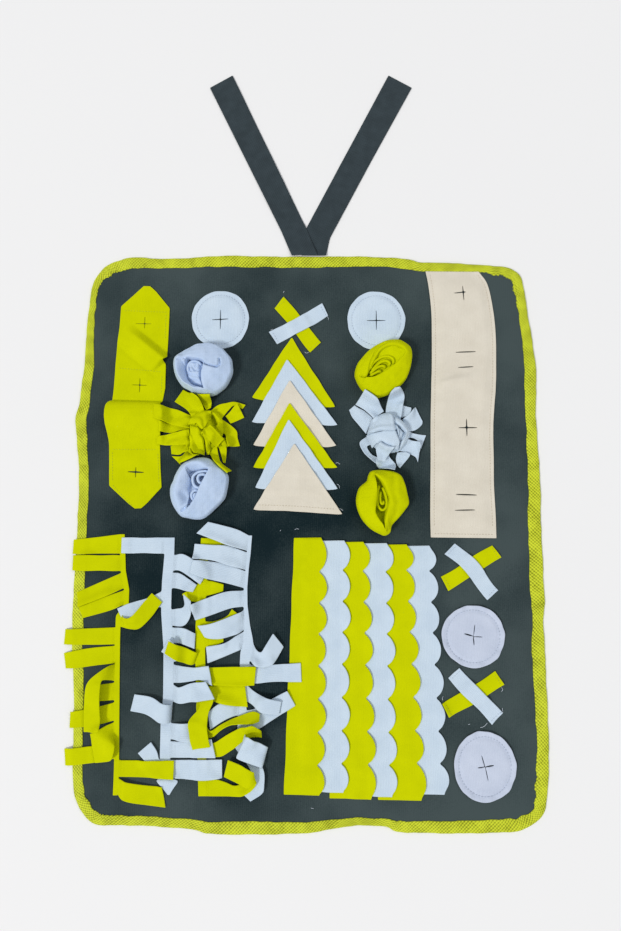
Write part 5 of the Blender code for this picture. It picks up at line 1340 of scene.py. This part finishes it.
tongues = [
    # strip, side, top and bottom of its root, and its rows from the root to its end, as in the pompoms (mm);
    # the lowest tongue comes first, and a single point is the end of a straight one
    ("B", "left", -75.5, -93.5, [(-195, -83, -196, -99, 0, 1), (-216, -89, -209, -105, 0, 2),
        (-231.5, -95.5, -224.5, -108, 0, 1)]),
    ("A", "left", -74, -91, [(-243.5, -80.5, -240, -98, 1, 0), (-278, -94, -272.5, -107, 1, 0)]),
    ("A", "left", -53.5, -71.5, [(-244.5, -60.5, -243.5, -80.5, 0, 1), (-281, -76.5, -278, -94, 0, 1)]),
    ("A", "left", -32.5, -51, [(-288, -41.5)]),
    ("A", "left", -7, -30.5, [(-259, -10.5, -258, -30.5), (-288, -13.5, -288.5, -31)]),
    ("A", "left", -117.5, -137.5, [(-258.5, -118.5, -258, -138), (-294, -120, -295, -138)]),
    ("A", "left", -139, -159.5, [(-257.5, -141, -252.5, -161.5, 0, 1), (-279.5, -144.5, -273, -164.5),
        (-294.5, -148, -291.5, -166)]),
    ("A", "left", -181.5, -201.5, [(-256, -194)]),
    ("A", "left", -204, -224.5, [(-255, -210, -254, -230.5), (-283, -215, -283.5, -233.5)]),
    ("A", "left", -250, -267.5, [(-258.5, -253.5, -252.5, -272), (-289, -257, -287, -276)]),
    ("A", "left", -227, -247.5, [(-238, -228.5, -228.5, -247, 4, 3), (-249, -235, -226.3, -250.8, 8, 7),
        (-250, -235.4, -226, -252.5, 8, 7), (-254, -237, -229.6, -267, 5), (-255, -237.5, -231, -268.5, 4),
        (-257.5, -238.5, -250, -271, 2)]),
    ("A", "left", -160.5, -179.5, [(-236, -160.5, -237.5, -178, 6, 4), (-246, -166.5, -243.5, -177, 11, 9),
        (-260, -178.5, -244.5, -183.5, 10), (-264, -194.5, -245, -198.5, 8, 10),
        (-264, -218, -244.5, -218, 5, 7), (-264.5, -236.5, -244, -234, 3)]),
    ("A", "right", -101, -117, [(-224.5, -104.5, -223.5, -117.5, 1, 3),
        (-216.5, -106.5, -212.5, -119.5, 2, 4), (-209, -100.5, -203, -118.5, 3),
        (-200.5, -89.5, -189.5, -105, 2), (-190, -77, -177.5, -88, 1, 0)]),
    ("B", "left", -11, -30.5, [(-229, -20.5)]),
    ("D", "right", -11.5, -29, [(-116, -12, -116, -24), (-99.5, -20.5, -101, -24)]),
    ("D", "left", -67, -88, [(-145, -73, -144, -87.5, 2), (-154.5, -78.5, -150.5, -84.5, 1)]),
    ("D", "right", -62, -81, [(-118, -63, -119, -79.5, 1), (-104.5, -67, -105, -75.5)]),
    ("D", "right", -111, -121.5, [(-115, -110.5, -113, -119.5, 1), (-100, -104.5, -97, -113, 2),
        (-94, -96, -86.5, -102, 2)]),
    ("D", "right", -123, -141, [(-114, -127, -114, -139, 1), (-103.5, -126, -103.5, -134.5, 1)]),
    ("C", "left", -204, -219, [(-92, -205.5, -93, -220.5, 2), (-106.5, -204, -104.5, -226, 4, 3),
        (-120.5, -214.5, -117.5, -235, 2)]),
    ("C", "right", -213, -233, [(-66, -211, -62.5, -234.5, 1), (-54, -204, -47, -225.5, 3, 2),
        (-27.5, -190, -17.5, -207.5, 2, 0)]),
    ("C", "right", -184, -203, [(-66, -191.5, -66, -208, 1), (-54, -197, -57, -214.5, 3),
        (-34, -202, -37, -217.5, 1)]),
    ("C", "right", -160, -180, [(-64, -162, -65, -182.5, 1), (-43.5, -160.5, -44.5, -180.5, 1),
        (-11.5, -158.5, -10.5, -180.5)]),
    ("D", "right", -187, -205, [(-113, -184.5, -114, -203), (-93.5, -184.5, -93, -207),
        (-77, -184.5, -73.5, -209, 1)]),
    ("D", "right", -165, -184, [(-115, -163.5, -113.5, -184, 3, 2), (-90.5, -162.5, -90, -184.5, 4, 3),
        (-64, -162, -66, -184, 2, 1)]),
    ("C", "end", 0, 0, [(-78, -268, -64, -266), (-70, -280, -54, -280, 1, 3),
        (-67, -292, -53.5, -296.5, 3, 4), (-69, -301, -55.5, -305, 2, 3),
        (-77.5, -307.5, -69.5, -314.5, 0, 1)]),
    ("D", "right", -291, -309, [(-112, -289.5, -112, -309), (-98, -293.5, -97, -309),
        (-87, -297, -80, -308.5, 1), (-73, -290, -66, -299, 3, 2), (-65, -279.5, -62, -290, 6, 4),
        (-67, -278, -72.5, -297, 8, 7), (-80, -272.5, -86, -291.5, 7),
        (-96, -267.5, -100.5, -286.5, 4, 3)]),
    ("D", "right", -229, -245, [(-117, -235, -113.5, -242.5, 2, 3), (-105.5, -229, -104, -233.5, 2, 6),
        (-94.5, -223.5, -92.5, -227.5, 2, 8), (-80, -217.5, -79, -226, 1, 9),
        (-66.5, -213, -66, -225.5, 1, 9), (-59, -216, -59.5, -223.5, 1, 5)]),
    ("D", "right", -248, -264, [(-113.5, -249.5, -106, -265, 2), (-100, -241, -96, -260, 4, 3),
        (-87.5, -233.5, -84, -251, 6, 4), (-77, -228.5, -73, -243, 6, 4), (-66, -225.5, -62, -242.5, 4, 3),
        (-57.5, -235, -57, -243.5, 2)]),
    ("C", "right", -237, -255, [(-74.5, -240, -85, -263.5, 5, 3), (-73.5, -237.5, -87, -265, 7, 4),
        (-62, -244.5, -71.5, -270.5, 10, 5), (-50.5, -251.5, -56, -275.5, 8, 3),
        (-49.5, -253, -56.5, -277.5, 4, 0)]),
    ("B", "right", -53.5, -71.5, [(-158.5, -53.5, -161, -72), (-148.5, -59.5, -150.5, -74.5),
        (-136.5, -67.5, -141, -76)]),
    ("B", "right", -32.5, -51, [(-156.5, -30.5, -158.5, -50.5, 2, 1), (-148.5, -33, -148, -56.5, 4, 2),
        (-135.5, -41.5, -140.5, -61.5, 3), (-125, -54.5, -132.5, -67, 0, 1)]),
    ("B", "right", -97, -115.5, [(-159.5, -95.5, -159, -116.5, 1), (-153, -94.5, -151, -116, 2),
        (-149.5, -89.5, -144.5, -108.5, 6, 4), (-151, -83, -141.5, -98, 4, 7),
        (-151.5, -78, -142, -86, 4, 5)]),
    ("B", "right", -118, -136, [(-160, -117.5, -160.5, -136, 1), (-154, -117.5, -156.5, -136.5),
        (-148.5, -118, -152.5, -136, 7, 6), (-143.5, -120.5, -146, -139, 6, 4),
        (-137, -124.5, -137.5, -142.5, 1)]),
    ("B", "right", -138.5, -157, [(-160, -138.5, -159, -157.5, 2), (-159, -137.5, -158, -156, 4),
        (-164, -133.5, -166.5, -151, 5), (-168, -130.5, -177, -145.5, 2)]),
    ("D", "left", -143, -159, [(-133, -147, -141, -161.5, 3), (-148, -140.5, -155.5, -155.5, 4),
        (-167, -132, -171.5, -146.5, 2)]),
    ("B", "right", -248, -266.5, [(-150, -248, -150, -266.5), (-130, -246, -130, -266, 1),
        (-115, -244, -110, -265.5, 1)]),
    ("B", "right", -227.5, -245.5, [(-150, -227.5, -150, -247.5, 3, 2), (-141, -227, -141, -247.5, 2, 1),
        (-128, -228, -128, -245)]),
    ("D", "left", -187, -205, [(-134, -196, -118, -192, 2), (-129.5, -203, -113, -200.5, 5),
        (-131, -210.5, -118, -212, 6, 4), (-142, -223.5, -120, -226, 5, 3), (-140.5, -241, -118, -243, 2),
        (-137.5, -256.5, -116, -252.5)]),
    ("B", "right", -161, -181.5, [(-156, -162, -156, -182), (-140.5, -164, -141.5, -180, 1),
        (-128.5, -162.5, -129.5, -177.5, 4, 3), (-119.5, -161, -115, -183.5, 4, 2)]),
    ("B", "right", -184, -203, [(-159, -185.5, -159, -204.5, 1, 0), (-154.5, -186.5, -152, -205.5, 3, 2),
        (-141, -181.5, -136, -202, 3, 2), (-122, -178, -111.5, -198, 1, 0)]),
    ("B", "right", -205, -225, [(-162, -206, -162, -226.5, 2), (-164.5, -205.5, -165, -226.5, 5),
        (-169, -205, -171, -226.5, 6), (-176, -203, -178, -225.5, 5, 4), (-188, -197, -193, -217, 3),
        (-207.5, -194.5, -212, -214, 1, 0)]),
    ("B", "left", -269, -288, [(-180, -257.5, -192, -271, 1), (-186.5, -248.5, -201.5, -261, 1)]),
    ("B", "end", 0, 0, [(-179.5, -291.5, -153, -291), (-172, -299.5, -158.5, -299.5),
        (-165.5, -307.5, -163.5, -307.5)]),
    ("B", "right", -269, -288, [(-129.5, -268, -129, -291, 1), (-103, -268, -102.5, -288.5, 1)]),
    ("A", "right", -269, -287.5, [(-199, -269, -198, -288), (-158.5, -268.5, -158.5, -289.5, 1)]),
    ("A", "right", -289.5, -306.5, [(-218, -290.5, -219, -311.5, 3), (-211.5, -293, -208, -315.5, 3, 2),
        (-190, -296.5, -188, -318.5, 1), (-172, -298, -167.5, -321.5)]),
    ("C", "right", -136, -156, [(-65.5, -141.5, -67, -160.5, 2, 1), (-62, -145, -61.5, -162.5, 3),
        (-58, -145.5, -53, -163, 5, 4), (-54, -139, -43, -158.5, 7, 5), (-44.5, -124, -31.5, -140, 4, 2)]),
    ("C", "left", -122.5, -142.5, [(-87, -126, -84, -144, 2, 1), (-101.5, -135, -101.5, -151.5, 3, 1),
        (-124, -139.5, -122.5, -160, 1, 0)]),
    ("C", "left", -98, -120.5, [(-93.5, -103.5, -88, -125.5, 2, 1), (-108, -109, -104, -130, 5, 3),
        (-122, -113.5, -118, -130.5, 5, 2), (-134.5, -115.5, -126, -129, 2, 0)]),
    ("C", "left", -74.5, -93.5, [(-101.5, -75.5, -96, -95.5, 3, 1), (-122.5, -82.5, -117.5, -103, 4, 1),
        (-142.5, -90, -138, -109.5, 2, 0)]),
    ("C", "left", -51.5, -71.5, [(-102.5, -42.5, -102, -65.5, 0, 2), (-123, -39.5, -123.5, -60.5, 0, 3),
        (-141.5, -37.5, -144.5, -53, 0, 2)]),
    ("C", "left", -29, -50, [(-99.5, -21, -102, -43.5, 1, 2), (-119, -20, -118.5, -38.5, 2),
        (-140.5, -18.5, -142, -36, 1)]),
    ("C", "left", -8.5, -27, [(-88.5, -1.5, -99.5, -20.5, 2), (-108, 4, -116.5, -14, 3),
        (-124.5, 8, -138.5, -6, 2)]),
]
ribbonShares = withEdges(6, 0.05)


def alongTongue(points, step):  # a smooth line with even steps and one more station close to its end
    line, run = evenSteps(curveThrough(points), step)
    stations = np.concatenate([run[:-1], [run[-1] - 0.0009, run[-1]]])
    return resample(line, run, stations), stations


class Fringe:  # a sewn margin, and tongues that share its corners
    def __init__(self, key):
        self.node, self.material, seam = fringes[key]
        self.pile = ClothPile(fringes["thick"])
        roots = {row[2:4] for row in tongues if row[0] == key and row[1] != "end"}
        seam = np.array(seam, float)
        stops = sorted({seam[0, 2], seam[-1, 2]}.union(*roots), reverse=True)
        self.rowOf, ys = {stops[0]: 0}, [stops[0]]
        for a, b in zip(stops, stops[1:]):
            if (a, b) in roots:
                shares = ribbonShares[1:]
            else:
                shares = np.linspace(0, 1, max(1, round((a - b) / 4)) + 1)[1:]
            ys += [a + (b - a) * s for s in shares]
            self.rowOf[b] = len(ys) - 1
        ys = np.array(ys)
        first, last = (np.interp(-ys, -seam[:, 2], seam[:, k])[:, None] for k in (0, 1))
        x, y = mm(first + (last - first) * ribbonShares), mm(np.repeat(ys[:, None], len(ribbonShares), 1))
        z = ground.settle(x, y, 0.0003)
        self.number = self.pile.addGrid(x, y, z, np.stack([y, x], -1))
        self.grid = np.stack([x, y, z], -1)

    def addTongue(self, side, top, bottom, rows):
        if side == "end":
            numbers, root = self.number[-1], self.grid[-1]
        else:
            place = np.arange(self.rowOf[top], self.rowOf[bottom] + 1)[::1 if side == "left" else -1]
            column = 0 if side == "left" else -1
            numbers, root = self.number[place, column], self.grid[place, column]
        if len(rows[0]) == 2:
            x, y, z, uv = self.straight(root, mm(rows))
        else:
            x, y, z, uv = self.bent(root, mm(fullRows(rows)), side == "right")
        self.pile.addGrid(x, y, z, uv, first=numbers)

    def straight(self, root, end):
        line, stations = alongTongue(np.concatenate([[root.mean(0)[:2]], end]), 0.0040)
        ahead = np.gradient(line, axis=0)
        ahead /= np.hypot(*ahead.T)[:, None]
        offset = (ribbonShares - 0.5) * fringes["width"] * (1 + 0.03 * np.sin(stations * 190))[:, None]
        x = line[:, :1] - ahead[:, 1:] * offset
        y = line[:, 1:] + ahead[:, :1] * offset
        x[0], y[0] = root[:, :2].T
        cup = 0.0004 * (2 * (ribbonShares - 0.5)) ** 2 * np.sin(math.pi * stations / stations[-1])[:, None]
        z = ground.settle(x, y, 0.0004, root=root) + cup * np.clip(stations / 0.004, 0, 1)[:, None]
        return x, y, z, flatMap(offset, stations)

    def bent(self, root, rows, turned):  # it bends, twists or narrows, and is given row by row
        if turned:
            rows = rows[:, [2, 3, 0, 1, 5, 4]]
        rows = np.concatenate([[(*root[0, :2], *root[-1, :2], 0.0, 0.0)], rows])
        middles = (rows[:, 0:2] + rows[:, 2:4]) / 2
        line, stations = alongTongue(np.column_stack([middles, rows]), 0.0034)
        away = np.hypot(*(root[:, :2] - root[0, :2]).T)
        shares = away / away[-1]
        first, run = line[:, 2:4], line[:, 4:6] - line[:, 2:4]
        x, y = np.moveaxis(first[:, None] + run[:, None] * shares[:, None], -1, 0)
        x[0], y[0] = root[:, :2].T
        lifts = line[:, 6:7] + (line[:, 7:8] - line[:, 6:7]) * shares + 0.0004 * (2 * shares - 1) ** 2
        z = ground.settle(x, y, 0.0004, root=root)
        z = z + np.maximum(lifts, 0) * np.clip(stations / 0.006, 0, 1)[:, None]
        return x, y, z, flatMap(np.hypot(*run.T)[:, None] * (shares - 0.5), stations)


def makeFringes():
    made = {key: Fringe(key) for key in ("A", "B", "D", "C")}
    for key, *row in tongues:
        made[key].addTongue(*row)
    for fringe in made.values():
        fringe.pile.build(fringe.node + "Cloth", fringe.material, fringe.node, 0.30, "laid")


# ---- loose thread ends and specks of lint ----

lint = {
    "thick": 0.00026,
    # every line in millimetres: x, y and how far it stands up
    "lines": [[(-34.5, 299, 0), (-33.5, 301, 0.8)], [(-37, -3.5, 0), (-36, -1.8, 0.6)],
        [(185.5, -229.5, 0), (187.3, -228.7, 0.4)], [(0.5, -322.3, 0), (3.5, -322.5, 0.4)],
        [(199.5, -232.8, 0), (203.5, -231.5, 0.8), (208, -227.5, 0)],
        [(222, -216, 0.3), (225.5, -214, 1.5), (226, -210.5, 0.5)],
        [(225.5, -192, 0.3), (227, -189.5, 1), (226, -187, 0)],
        [(156, -202, 0.3), (155.5, -199.5, 1), (156.8, -197.5, 0)],
        [(20, 267.5, 0.3), (22.5, 265.5, 1), (22.5, 263, 0.2)],
        [(-50, 248.5, 0.3), (-48.5, 250, 1), (-47, 249, 0.2)],
        [(-7.5, 221, 0.3), (-5, 219.5, 1), (-2, 220.5, 0.2)],
        [(31, 80, 0.3), (33.5, 80.5, 1), (36.5, 78.8, 0.2)],
        [(32.5, 54, 0.3), (35, 52.5, 1), (35.5, 49, 0.2)],
        [(35.5, 24, 0.3), (38, 23, 1), (39.5, 21.3, 0.2)],
        [(-19, -1.5, 0.3), (-16.5, -0.5, 1), (-14, -1, 0.2)]],
}


def makeLint():
    lump = Lump()
    for line in lint["lines"]:
        addThread(lump, mm(line), lint["thick"])
    lump.build("looseThreads", "paleThread")


# ---- everything in order ----

addCamera()
materials = makeMaterials()
addStudio()
makePanel()
makeBinding()
print("panel and binding made")
makeTies()
makePatches()
makePocket()
makeTunnelStrip()
print("ties, patches, pocket and tunnels made")
makeTriangles()
makeScallops()
makeCrosses()
print("triangles, scallops and crosses made")
for rose in ("rose_upper_left", "rose_lower_left", "rose_upper_right", "rose_lower_right"):
    makeRose(rose)
print("roses made")
makePompom("pompom_left")
makePompom("pompom_right")
print("pompoms made")
makeFringes()
makeLint()
print("fringes made")
